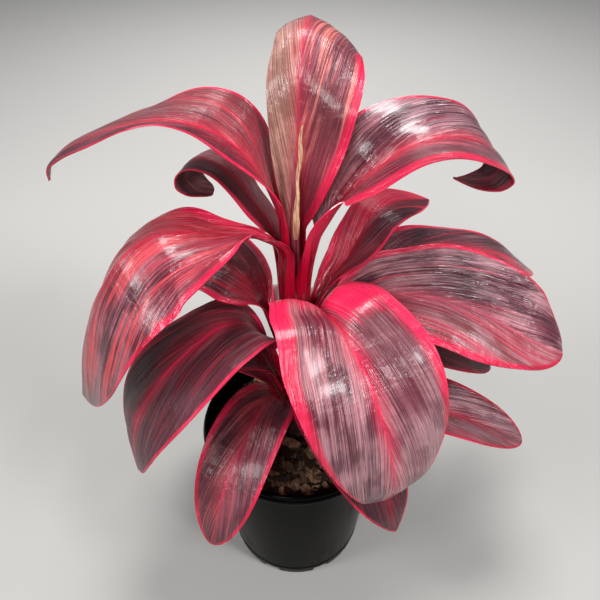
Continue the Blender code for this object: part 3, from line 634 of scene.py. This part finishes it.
def pot_finish():
    """Black moulded plastic with a faint grain, rubbed lighter where it is handled, a little dusty."""
    finish = Finish("black nursery plastic", 0.04)
    here = finish.here()
    cloud = finish.noise(here, 22.0, 4.0, 0.6)
    grain = finish.noise(here, 900.0, 2.0)
    streak = finish.drawn(here, (90.0, 90.0, 6.0), 3.0)
    dust = finish.step(cloud * 0.6 + streak * 0.5, 0.52, 0.80)
    specks = finish.step(finish.noise(here, 420.0, 2.0), 0.70, 0.76)
    surface = finish.mix(finish.mix(PLASTIC, DUST, dust), SPECK, specks * 0.5)
    relief = (grain * 0.6 + streak * 0.6, 0.25, 0.0004)
    return finish.done(surface, 0.16 + cloud * 0.12 + dust * 0.16, relief)


def soil_finish():
    """Damp potting mix: fine dark crumbs."""
    finish = Finish("potting mix", 0.3)
    here = finish.here()
    crumbs = finish.cells(here, 420.0)
    cloud = finish.noise(here, 60.0, 4.0, 0.65)
    surface = finish.mix(DAMP_MIX, DRY_MIX, finish.step(cloud, 0.35, 0.70))
    surface = finish.mix(surface, CRUMB, finish.step(crumbs, 0.62, 0.30) * 0.25)
    return finish.done(surface, 0.78 + cloud * 0.2, (crumbs + cloud, 0.9, 0.0016))


def bark_finish(name, deep, light):
    """Bark chips, each with its own tone, fibrous along the grain."""
    finish = Finish(name, 0.35)
    here = finish.here()
    tone = finish.tone("tone")
    fibre = finish.drawn(here, (500.0, 140.0, 420.0), 4.0, 0.6)
    cloud = finish.noise(here, 160.0, 3.0)
    surface = finish.mix(deep, light, finish.step(tone, 0.05, 1.0))
    surface = finish.mix(surface, CREVICE, finish.step(fibre, 0.58, 0.36) * 0.7)
    surface = finish.mix(surface, WEATHERED, finish.step(cloud, 0.62, 0.74) * tone * 0.5)
    return finish.done(surface, 0.66 + fibre * 0.3, (fibre, 0.8, 0.0008))


def cane_finish():
    """Woody stem, crimson-brown and ringed, greyer lower down."""
    finish = Finish("cane bark", 0.4)
    here = finish.here()
    rings = finish.drawn(here, (60.0, 60.0, 420.0), 3.0)
    cork = finish.drawn(here, (300.0, 300.0, 90.0), 4.0, 0.6)
    old = finish.step(finish.parts(here)[2], 0.215, 0.165)
    surface = finish.mix(YOUNG_WOOD, OLD_WOOD, old)
    surface = finish.mix(surface, CORK, finish.step(cork, 0.56, 0.40) * 0.7)
    surface = finish.mix(surface, RING, finish.step(rings, 0.60, 0.72) * 0.5)
    return finish.done(surface, 0.52 + cork * 0.3, (cork + rings * 0.6, 0.6, 0.0008))


def young_finish():
    """The rolled leaf's outer side: magenta with lengthwise streaks."""
    finish = Finish("young leaf", 0.5, 0.2, 0.25)
    streak = finish.drawn(finish.here(), (900.0, 900.0, 14.0), 3.0)
    surface = finish.mix(MAGENTA, PALE_MAGENTA, finish.step(streak, 0.38, 0.62))
    return finish.done(surface, 0.34 + streak * 0.15, (streak, 0.4, 0.0004))


def dry_finish():
    """A papery strip, cream with brown fibres."""
    finish = Finish("dry strip", 0.3)
    fibre = finish.drawn(finish.here(), (1400.0, 1400.0, 40.0), 3.0)
    surface = finish.mix(FIBRE, CREAM, finish.step(fibre, 0.40, 0.60))
    return finish.done(surface, 0.62 + fibre * 0.2, (fibre, 0.5, 0.0004))


def floor_finish():
    """A matt pale floor, with painted light: lighter towards the far side, where the lamps reach it
    less.
    """
    finish = Finish("pale floor", 0.25)
    here = finish.here()
    cloud = finish.noise(here, 3.0, 2.0)
    near = finish.mix(FLOOR_TONE, FLOOR_CLOUD, cloud)
    # painted light: the floor lightens away from the camera to stand in for the lamps' falloff
    surface = finish.mix(near, FLOOR_FAR_PAINTED_LIGHT, finish.step(finish.parts(here)[1], 0.05, 0.75))
    return finish.done(surface, 0.75 + cloud * 0.1)


def smooth(x):
    x = np.clip(x, 0.0, 1.0)
    return x * x * (3.0 - 2.0 * x)


def cane_radius(height):
    share = (height - SOIL_TOP) / (CANE_TOP - SOIL_TOP)
    return CANE_RADIUS_LOW + (CANE_RADIUS_HIGH - CANE_RADIUS_LOW) * min(max(share, 0.0), 1.0)


def eased(keys, column, share):
    """A value eased between its keys, each key led by its share of the way."""
    value = np.full(np.shape(share), float(keys[0][column]))
    for one, two in zip(keys, keys[1:]):
        weight = smooth((share - one[0]) / (two[0] - one[0]))
        value = np.where(share >= one[0], one[column] + (two[column] - one[column]) * weight, value)
    return value


def curve(points, shares):
    """Points at the given shares of the length of a smooth curve through the given ones."""
    p = np.vstack([2.0 * points[0] - points[1], points, 2.0 * points[-1] - points[-2]])
    dense = []
    for i in range(1, len(p) - 2):
        chords = np.diff(p[i - 1:i + 3], axis=0)
        knots = np.cumsum([0.0, *(np.linalg.norm(chord) ** 0.5 for chord in chords)])
        for t in np.linspace(knots[1], knots[2], CURVE_STEPS, endpoint=False):
            row = p[i - 1:i + 3]
            for span in (1, 2):
                row = [
                    one + (two - one) * (t - knots[k]) / (knots[k + span] - knots[k])
                    for k, (one, two) in enumerate(zip(row, row[1:]))
                ]
            dense.append(row[0] + (row[1] - row[0]) * (t - knots[1]) / (knots[2] - knots[1]))
    dense.append(p[-2])
    dense = np.array(dense)
    run = np.concatenate([[0.0], np.cumsum(np.linalg.norm(np.diff(dense, axis=0), axis=1))])
    at = shares * run[-1]
    return np.stack([np.interp(at, run, dense[:, axis]) for axis in range(dense.shape[1])], axis=1)


def unit(vectors):
    return vectors / np.linalg.norm(vectors, axis=-1, keepdims=True)


def leaf_sheet(azimuth, node, midrib, petiole, right, left, wave, swing=0.0, veer=0.0,
               outline=EVEN_OUTLINE, lift=EVEN_LIFT, lift_right=None, lift_left=None,
               stalk=PETIOLE_HALF_WIDTH / MM):
    """The middle surface of a leaf: points, and half the thickness above and below each of them."""
    start = cane_radius(node * MM) / MM + CANE_CLEARANCE / MM + PETIOLE_THICKNESS / MM / 2.0
    reach = [(start, node), (start + 0.6, node + 6.0), *midrib]
    share = np.linspace(0.0, 1.0, FINE_STATIONS)
    share = share - END_CROWDING * np.sin(2.0 * math.pi * share)
    away, height = curve(np.array(reach, dtype=float), share).T * MM
    swung = swing * (1.0 - smooth((away / MM - start) / SWING_REACH))
    turn = np.radians(azimuth + swung + veer * share ** 2)
    rib = np.stack([away * np.cos(turn), away * np.sin(turn), height], axis=1)
    tangent = unit(np.gradient(rib, share, axis=0))
    across = np.stack([np.sin(turn), -np.cos(turn), np.zeros(FINE_STATIONS)], axis=1)
    across = unit(across - (tangent * across).sum(axis=1, keepdims=True) * tangent)
    upward = np.cross(across, tangent)
    blade = np.clip((share - petiole) / (1.0 - petiole), 0.0, 1.0)
    leaving = smooth(share / BASE_LEAVING)
    stem = (BASE_HALF_WIDTH + (stalk * MM - BASE_HALF_WIDTH) * leaving) * (1.0 - blade)
    wrap = BASE_WRAP_DEG + (PETIOLE_CHANNEL_DEG - BASE_WRAP_DEG) * leaving
    opening = smooth(blade / BLADE_OPENING)
    points = np.zeros((FINE_STATIONS, 2 * FINE_STRIPS + 1, 3))
    over, under = np.zeros((2, *points.shape[:2]))
    for column in range(2 * FINE_STRIPS + 1):
        side = 1.0 if column >= FINE_STRIPS else -1.0
        out = abs(column - FINE_STRIPS) / FINE_STRIPS
        keys = (lift_right if side > 0 else lift_left) or lift
        half = (right if side > 0 else left) * MM
        low, high = outline[:2] if side > 0 else outline[-2:]
        peak = low / (low + high)
        swell = (blade / peak) ** low * ((1.0 - blade) / (1.0 - peak)) ** high
        width = np.maximum(np.sqrt(stem ** 2 + (half * swell) ** 2), TIP_HALF_WIDTH)
        inner = np.radians(opening * eased(keys, 1, blade))
        outer = np.radians(opening * eased(keys, 2, blade) + (1.0 - opening) * wrap)
        steps = np.linspace(0.0, out, LIFT_STEPS)
        angle = inner[:, None] + (outer - inner)[:, None] * steps
        reach_out = np.trapz(np.cos(angle), steps, axis=1)
        rise = np.trapz(np.sin(angle), steps, axis=1)
        phase = 2.0 * math.pi * (wave[1] * blade + wave[2] + (WAVE_LAG if side > 0 else 0.0))
        ripple = wave[0] * MM * out ** 2 * np.sin(phase) * np.sqrt(np.sin(math.pi * blade)).clip(0.0)
        aside = (side * width * reach_out)[:, None] * across
        points[:, column] = rib + aside + (width * rise + ripple)[:, None] * upward
        thinning = smooth(share / (petiole + 0.1))
        body = PETIOLE_THICKNESS + (BLADE_THICKNESS - PETIOLE_THICKNESS) * thinning
        body = body * (1.0 - out) + (0.5 * body + 0.5 * BLADE_THICKNESS) * out
        beside = max(0.0, 1.0 - MIDRIB_NARROWING * out)
        ridge = MIDRIB_DEPTH * (1.0 - share) * beside * smooth(blade / 0.1)
        over[:, column] = body / 2.0
        under[:, column] = body / 2.0 + ridge
    return points, over, under


def wall_radius(height):
    """Outer radius of the pot's tapered wall."""
    return FOOT_RADIUS + (WALL_TOP_RADIUS - FOOT_RADIUS) * height / POT_HEIGHT


def stepped(radius, height, steps):
    """Profile points placed by their inset from a radius and their rise over a height."""
    return [(radius - inset, height + rise) for inset, rise in steps]


def taken(name):
    """Names the piece that was just added."""
    piece = bpy.context.object
    piece.name = name
    piece.data.name = name
    return piece


def chosen(*pieces):
    """Selects only these pieces and makes the first the active one."""
    bpy.ops.object.select_all(action="DESELECT")
    for piece in pieces:
        piece.select_set(True)
    bpy.context.view_layer.objects.active = pieces[0]


def faces_selected():
    bpy.ops.mesh.select_all(action="SELECT")


def dressed(piece, finishes, slot, *nodes):
    """Gives a piece its finishes, lets it ride, and hides the solids it stands for."""
    piece.data.materials.clear()
    for finish in finishes:
        piece.data.materials.append(finish)
    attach(piece, "root")
    if nodes:
        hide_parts(*nodes)
    return piece


def with_modifier(piece, kind, settings):
    """Adds a modifier to the piece and applies it."""
    chosen(piece)
    made = piece.modifiers.new(kind.lower(), kind)
    for key, value in settings.items():
        setattr(made, key, value)
    bpy.ops.object.modifier_apply(modifier=made.name)


def shaded(piece, degrees):
    chosen(piece)
    bpy.ops.object.shade_smooth_by_angle(angle=math.radians(degrees))


def settled(piece):
    """Puts the piece's place into its mesh, so that its object sits at the origin."""
    chosen(piece)
    bpy.ops.object.transform_apply(location=True, rotation=True, scale=True)


def drawn_up(name, profile, edges):
    """A round closed piece: a disc drawn out ring by ring along a profile of (radius, height)."""
    radius, height = profile[0]
    bpy.ops.mesh.primitive_circle_add(
        vertices=edges, radius=radius, fill_type="NGON", location=(0, 0, height),
    )
    piece = taken(name)
    settled(piece)
    bpy.ops.object.mode_set(mode="EDIT")
    faces_selected()
    for wider, higher in profile[1:]:
        bpy.ops.mesh.extrude_region_move(TRANSFORM_OT_translate={"value": (0.0, 0.0, higher - height)})
        grow = wider / radius
        bpy.ops.transform.resize(value=(grow, grow, 1.0), center_override=(0.0, 0.0, higher))
        radius, height = wider, higher
    faces_selected()
    bpy.ops.mesh.normals_make_consistent(inside=False)
    bpy.ops.object.mode_set(mode="OBJECT")
    return piece


def make_leaf(name, seed):
    """A blade laid out as a fine grid, bent to its midrib, given its thickness and its two faces."""
    points, depth, veins, edge = fine_sheet(name, seed)
    rows, columns = depth.shape
    bpy.ops.mesh.primitive_grid_add(x_subdivisions=columns - 1, y_subdivisions=rows - 1, size=1.0)
    leaf = taken(name + "_dressed")
    mesh = leaf.data
    flat = np.zeros(len(mesh.vertices) * 3)
    mesh.vertices.foreach_get("co", flat)
    flat = flat.reshape(-1, 3)
    column = np.rint((flat[:, 0] + 0.5) * (columns - 1)).astype(int)
    row = np.rint((flat[:, 1] + 0.5) * (rows - 1)).astype(int)
    mesh.vertices.foreach_set("co", points[row, column].ravel())
    mesh.uv_layers[0].name = "leaf"
    corners = np.zeros(len(mesh.loops), int)
    mesh.loops.foreach_get("vertex_index", corners)
    for title, values in (("veins", veins), ("edge", edge)):
        layer = mesh.uv_layers.new(name=title)
        layer.data.foreach_set("uv", values[row, column][corners].ravel())
    group = leaf.vertex_groups.new(name="depth")
    most = depth.max()
    for index, share in enumerate(depth[row, column] / most):
        group.add([index], float(share), "REPLACE")
    mesh.update()
    with_modifier(leaf, "SOLIDIFY", {
        "thickness": float(most), "offset": 0.0, "vertex_group": "depth", "thickness_vertex_group": 0.0,
        "material_offset": 1, "material_offset_rim": 0, "use_quality_normals": True,
    })
    shaded(leaf, 60.0)
    petiole = LEAVES[name]["petiole"]
    finishes = [leaf_finish(name, petiole, seed, upper) for upper in (True, False)]
    return dressed(leaf, finishes, "leaf", name)


def fine_sheet(name, seed):
    """The leaf's middle surface with its lengthwise folds, its depth, and its vein and edge maps in cm.

    The sheet is kept inside the object's own box, so the folds add nothing to its size.
    """
    points, over, under = leaf_sheet(**LEAVES[name])
    normals = unit(np.cross(np.gradient(points, axis=1), np.gradient(points, axis=0)))
    rows, columns = over.shape
    middle = columns // 2
    rib = points[:, middle]
    run = np.concatenate([[0.0], np.cumsum(np.linalg.norm(np.diff(rib, axis=0), axis=1))])
    steps = np.linalg.norm(np.diff(points, axis=1), axis=2)
    side = np.zeros((rows, columns))
    side[:, middle + 1:] = np.cumsum(steps[:, middle:], axis=1)
    side[:, :middle] = np.cumsum(steps[:, :middle][:, ::-1], axis=1)[:, ::-1]
    half = np.where(np.arange(columns) < middle, side[:, :1], side[:, -1:])
    widest = half.max(axis=0, keepdims=True)
    petiole = LEAVES[name]["petiole"]
    blade = np.clip((run / run[-1] - petiole) / (1.0 - petiole), 0.0, 1.0)
    fan = side * (widest / half) ** VEIN_FAN - VEIN_SLANT * (run[:, None] - petiole * run[-1])
    long = np.repeat(run[:, None], columns, axis=1)
    veins = np.stack([fan, long], axis=2) * 100.0
    edge = np.stack([half - side, side], axis=2) * 100.0
    swell = smooth(blade / 0.18) * smooth((1.0 - blade) / 0.12)
    sign = np.where(np.arange(columns) < middle, -1.0, 1.0)
    folds = np.zeros((rows, columns))
    for i in range(rows):
        for j in range(columns):
            spot = Vector((fan[i, j] * FOLDS_ACROSS, run[i] * FOLDS_ALONG, seed + sign[j] * 3.0))
            folds[i, j] = noise.noise(spot) + 0.5 * noise.noise(spot * 2.4)
    out = np.abs(np.linspace(-1.0, 1.0, columns))
    calm = smooth(out / 0.15) * (1.0 - 0.35 * smooth((out - 0.8) / 0.2))
    height = DRESS[name]["folds"] * MM * folds * swell[:, None] * calm[None, :]
    low, high = (np.array(corner) for corner in frame_box)
    reach = SHEET_CLEARANCE * (over + under)[..., None]
    sheet = np.clip(points + normals * height[..., None], low + reach, high - reach)
    return sheet, over + under, veins, edge


def make_pot():
    """Thin tapered wall, rolled lip, drain openings where wall and foot meet, and a ridged foot."""
    lip_low = POT_HEIGHT - LIP_DEPTH
    profile = [(0.0300, 0.0008), *stepped(FOOT_RADIUS, 0.0, FOOT_STEPS)]
    profile += [(wall_radius(height) - inset, height) for inset, height in FOOT_RIDGE]
    for share in np.linspace(0.12, 0.97, 12):
        height = 0.0120 + (lip_low - 0.0140) * share
        profile.append((wall_radius(height), height))
    profile.append((wall_radius(lip_low - 0.0006), lip_low - 0.0006))
    profile.append((wall_radius(lip_low) + 0.0006, lip_low))
    profile += [
        *stepped(RIM_RADIUS, lip_low, LIP_SIDE), *stepped(RIM_RADIUS, POT_HEIGHT, LIP_TOP),
        (wall_radius(lip_low) - WALL, lip_low), (wall_radius(0.06) - WALL, 0.06),
        (wall_radius(FLOOR_THICKNESS) - WALL, FLOOR_THICKNESS), (0.0200, FLOOR_THICKNESS),
    ]
    pot = drawn_up("pot_dressed", profile, POT_EDGES)
    for k in range(DRAIN_COUNT):
        turn = 2.0 * math.pi * (k + 0.5) / DRAIN_COUNT - math.pi / 2.0
        place = (FOOT_RADIUS * math.cos(turn), FOOT_RADIUS * math.sin(turn), DRAIN_HEIGHT / 2.0 - 0.001)
        bpy.ops.mesh.primitive_cube_add(
            size=1.0, scale=(DRAIN_REACH, DRAIN_WIDTH, DRAIN_HEIGHT + 0.002), rotation=(0.0, 0.0, turn),
            location=place,
        )
        cutter = taken("drain_cutter")
        with_modifier(cutter, "BEVEL", {"width": 0.0018, "segments": 3})
        with_modifier(pot, "BOOLEAN", {"operation": "DIFFERENCE", "solver": "EXACT", "object": cutter})
        bpy.data.objects.remove(cutter)
    shaded(pot, 35.0)
    return dressed(pot, [pot_finish()], "pot", "pot")


def make_soil():
    """The potting mix, drawn up from the pot's floor, its top heaped, crumbly, pressed to the cane."""
    bottom = FLOOR_THICKNESS + SOIL_GAP
    rim = wall_radius(SOIL_TOP - 0.004) - WALL - SOIL_GAP
    wide = wall_radius(bottom) - WALL - SOIL_GAP
    profile = [(0.0200, bottom), (wide, bottom), (rim, SOIL_TOP - 0.004)]
    hole = CANE_RADIUS_LOW + CANE_CLEARANCE
    for step in range(SOIL_STEPS + 1):
        profile.append((rim - 0.0006 + (hole - rim + 0.0006) * step / SOIL_STEPS, SOIL_TOP - 0.0006))
    profile.append((hole, SOIL_TOP - CANE_SOCKET_DEPTH))
    soil = drawn_up("soil_dressed", profile, SOIL_EDGES)
    for vertex in soil.data.vertices:
        reach = math.hypot(vertex.co.x, vertex.co.y)
        if vertex.co.z > SOIL_TOP - 0.001 and hole + 0.001 < reach < rim - 0.001:
            spot = Vector((vertex.co.x, vertex.co.y, 0.0))
            lump = 0.0016 * noise.noise(spot * 90.0) + 0.0010 * noise.noise(spot * 260.0)
            vertex.co.z += SOIL_HEAP + lump
    shaded(soil, 50.0)
    return dressed(soil, [soil_finish()], "soil", "soil")


def bark_chip(draw):
    """One bark chip, cut from a block: corners sliced off, edges split, faces roughened."""
    bpy.ops.mesh.primitive_cube_add(size=1.0, scale=(1.0, 0.62, 0.26))
    chip = taken("bark_chip")
    settled(chip)
    bpy.ops.object.mode_set(mode="EDIT")
    faces_selected()
    for _ in range(3):
        turn = draw.uniform(0.0, 2.0 * math.pi)
        aside = (math.cos(turn), math.sin(turn), draw.uniform(-0.4, 0.4))
        faces_selected()
        spot = (0.36 * aside[0], 0.22 * aside[1], 0.0)
        bpy.ops.mesh.bisect(plane_co=spot, plane_no=aside, use_fill=True, clear_outer=True)
    faces_selected()
    bpy.ops.mesh.subdivide(number_cuts=1)
    bpy.ops.mesh.quads_convert_to_tris()
    bpy.ops.mesh.normals_make_consistent(inside=False)
    bpy.ops.object.mode_set(mode="OBJECT")
    for vertex in chip.data.vertices:
        vertex.co += Vector([draw.uniform(-CHIP_ROUGHNESS, CHIP_ROUGHNESS) for _ in range(3)])
    return chip


def strewn(name, pattern, count, sizes, layer, draw, finish, slot):
    """Copies of a few chips strewn over the soil, each with its own tone, joined into one piece."""
    copies = []
    for index in range(count):
        source = pattern[index % len(pattern)]
        chip = source.copy()
        chip.data = source.data.copy()
        bpy.context.scene.collection.objects.link(chip)
        length = draw.uniform(*sizes)
        spread = wall_radius(SOIL_TOP) - WALL - CHIPS_SPARED - length * 0.4
        reach = CHIPS_FROM + math.sqrt(draw.random()) * spread
        turn = draw.uniform(0.0, 2.0 * math.pi)
        lean = draw.uniform(0.0, 0.45)
        chip.scale = (length, length * draw.uniform(0.7, 1.1), length * draw.uniform(0.8, 1.5))
        lean_aside = lean * draw.choice((-1, 1))
        chip.rotation_euler = (lean_aside, lean * 0.6, draw.uniform(0.0, 2.0 * math.pi))
        height = SOIL_TOP + draw.uniform(*layer) + length * 0.06
        chip.location = (reach * math.cos(turn), reach * math.sin(turn), height)
        tone = chip.data.attributes.new("tone", "FLOAT", "POINT")
        tone.data.foreach_set("value", [draw.random() ** 1.7] * len(chip.data.vertices))
        copies.append(chip)
    chosen(*copies)
    bpy.ops.object.join()
    piece = taken(name)
    settled(piece)
    shaded(piece, 25.0)
    return dressed(piece, [finish], slot)


def make_bark():
    """The chips that lie over the potting mix, and the grit between them."""
    draw = random.Random(SEED)
    pattern = [bark_chip(draw) for _ in range(CHIP_PATTERNS)]
    brown = bark_finish("bark chips", BARK_DEEP, BARK_LIGHT)
    strewn("bark_chips", pattern, BARK_COUNT, (0.0070, 0.0150), (-0.0004, 0.0026), draw, brown, "soil")
    grit = bark_finish("bark grit", GRIT_DEEP, GRIT_LIGHT)
    strewn("bark_grit", pattern, GRIT_COUNT, (0.0018, 0.0045), (0.0002, 0.0030), draw, grit, "soil")
    for chip in pattern:
        bpy.data.objects.remove(chip)


def make_cane():
    """The woody stem, with the rings that fallen leaves leave."""
    low = SOIL_TOP - CANE_SOCKET_DEPTH + CANE_CLEARANCE
    profile = [(CANE_RADIUS_LOW * 0.4, low), (CANE_RADIUS_LOW - 0.0002, low)]
    profile.append((CANE_RADIUS_LOW, low + 0.0004))
    height = SOIL_TOP
    while height < CANE_TOP - 0.006:
        profile += stepped(cane_radius(height), height, RING_STEPS)
        height += CANE_RING_SPACING / 2.0
    for share, drop in ((0.9, 0.0026), (0.8, 0.0010), (0.5, 0.0)):
        profile.append((CANE_RADIUS_HIGH * share, CANE_TOP - drop))
    cane = drawn_up("cane_dressed", profile, CANE_EDGES)
    shaded(cane, 60.0)
    return dressed(cane, [cane_finish()], "cane", "cane")


def make_young_leaf():
    """The rolled young leaf: a slim spindle with the seam of its outer edge winding up it."""
    foot = CANE_TOP + CANE_CLEARANCE
    rises = np.linspace(0.0, YOUNG_HEIGHT, 30)
    widths = [0.0012, 0.0036, 0.0040, 0.0036, 0.0022, 0.0003]
    radii = np.interp(rises, [0.0, 0.004, 0.030, 0.062, 0.090, YOUNG_HEIGHT], widths)
    profile = [(float(radius), float(foot + rise)) for radius, rise in zip(radii, rises)]
    young = drawn_up("young_leaf_dressed", profile, YOUNG_EDGES)
    for vertex in young.data.vertices:
        turn = math.atan2(vertex.co.y, vertex.co.x) + (vertex.co.z - foot) * YOUNG_TWIST
        roll = 1.0 - 0.16 * ((turn / (2.0 * math.pi)) % 1.0)
        vertex.co.x *= roll
        vertex.co.y *= roll * 0.95
    shaded(young, 50.0)
    return dressed(young, [young_finish()], "young_leaf", "young_leaf")


def make_dry_strip():
    """The thin papery strip standing against the young leaf, wavering as it dries."""
    bpy.ops.mesh.primitive_grid_add(x_subdivisions=4, y_subdivisions=60, size=1.0)
    strip = taken("dry_strip_dressed")
    seat = YOUNG_DEPTH + CANE_CLEARANCE + STRIP_THICKNESS / 2.0
    for vertex in strip.data.vertices:
        share = vertex.co.y + 0.5
        width = STRIP_WIDTH * (0.75 + 0.25 * math.sin(share * 9.0)) * (1.0 - 0.75 * share ** 3)
        sway = 0.0007 * math.sin(share * 19.0) * share
        lean = 0.0042 * share * share
        curl = 0.0005 * math.cos(share * 26.0) * vertex.co.x * 2.0
        aside = STRIP_SHIFT + lean + sway + vertex.co.x * width
        vertex.co = Vector((aside, lean - seat + curl, STRIP_FOOT + STRIP_HEIGHT * share))
    with_modifier(strip, "SOLIDIFY", {"thickness": 0.0006, "offset": 0.0})
    with_modifier(strip, "SUBSURF", {"levels": 1, "render_levels": 1})
    shaded(strip, 70.0)
    return dressed(strip, [dry_finish()], "dry_strip", "dry_strip")


def make_setting():
    """A pale floor, soft light from the upper left, a fill, and the camera."""
    scene = bpy.context.scene
    bpy.ops.mesh.primitive_plane_add(size=FLOOR_SIZE, location=(0.0, 0.0, -FLOOR_DROP))
    floor = taken("floor")
    settled(floor)
    floor.data.materials.append(floor_finish())
    for name, place, aim, size, power in (
        ("top light", (0.0, 0.15, 1.9), PLANT_MIDDLE, 0.55, 27.0),
        ("right light", (1.1, -0.8, 1.5), PLANT_MIDDLE, 0.40, 22.0),
        ("left light", (-1.3, -0.6, 1.2), PLANT_MIDDLE, 0.50, 11.0),
        ("front light", (-0.4, -1.45, 1.3), PLANT_MIDDLE, 0.45, 11.0),
        ("floor light", (0.0, 1.5, 1.3), (0.0, 2.5, 0.0), 1.2, 12.0),
    ):
        lamp = bpy.data.lights.new(name, "AREA")
        lamp.shape = "DISK"
        lamp.size = size
        lamp.energy = power
        holder = bpy.data.objects.new(name, lamp)
        scene.collection.objects.link(holder)
        holder.location = place
        holder.rotation_euler = (Vector(aim) - Vector(place)).to_track_quat("-Z", "Y").to_euler()
    world = bpy.data.worlds.new("studio")
    world.use_nodes = True
    sky = world.node_tree.nodes["Background"]
    sky.inputs["Color"].default_value = SKY_TONE
    sky.inputs["Strength"].default_value = SKY_STRENGTH
    scene.world = world
    scene.view_settings.view_transform = "Standard"
    lens = bpy.data.cameras.new("camera")
    lens.lens = LENS_MM
    lens.sensor_width = SENSOR_MM
    lens.clip_start = 0.01
    camera = bpy.data.objects.new("camera", lens)
    scene.collection.objects.link(camera)
    camera.location = CAMERA_PLACE
    camera.rotation_euler = (math.radians(CAMERA_TILT_DEG), 0.0, 0.0)
    scene.camera = camera


make_setting()
make_pot()
make_soil()
make_bark()
make_cane()
for number, leaf_name in enumerate(LEAVES):
    make_leaf(leaf_name, LEAF_SEED_STEP * (number + 1))
make_young_leaf()
make_dry_strip()
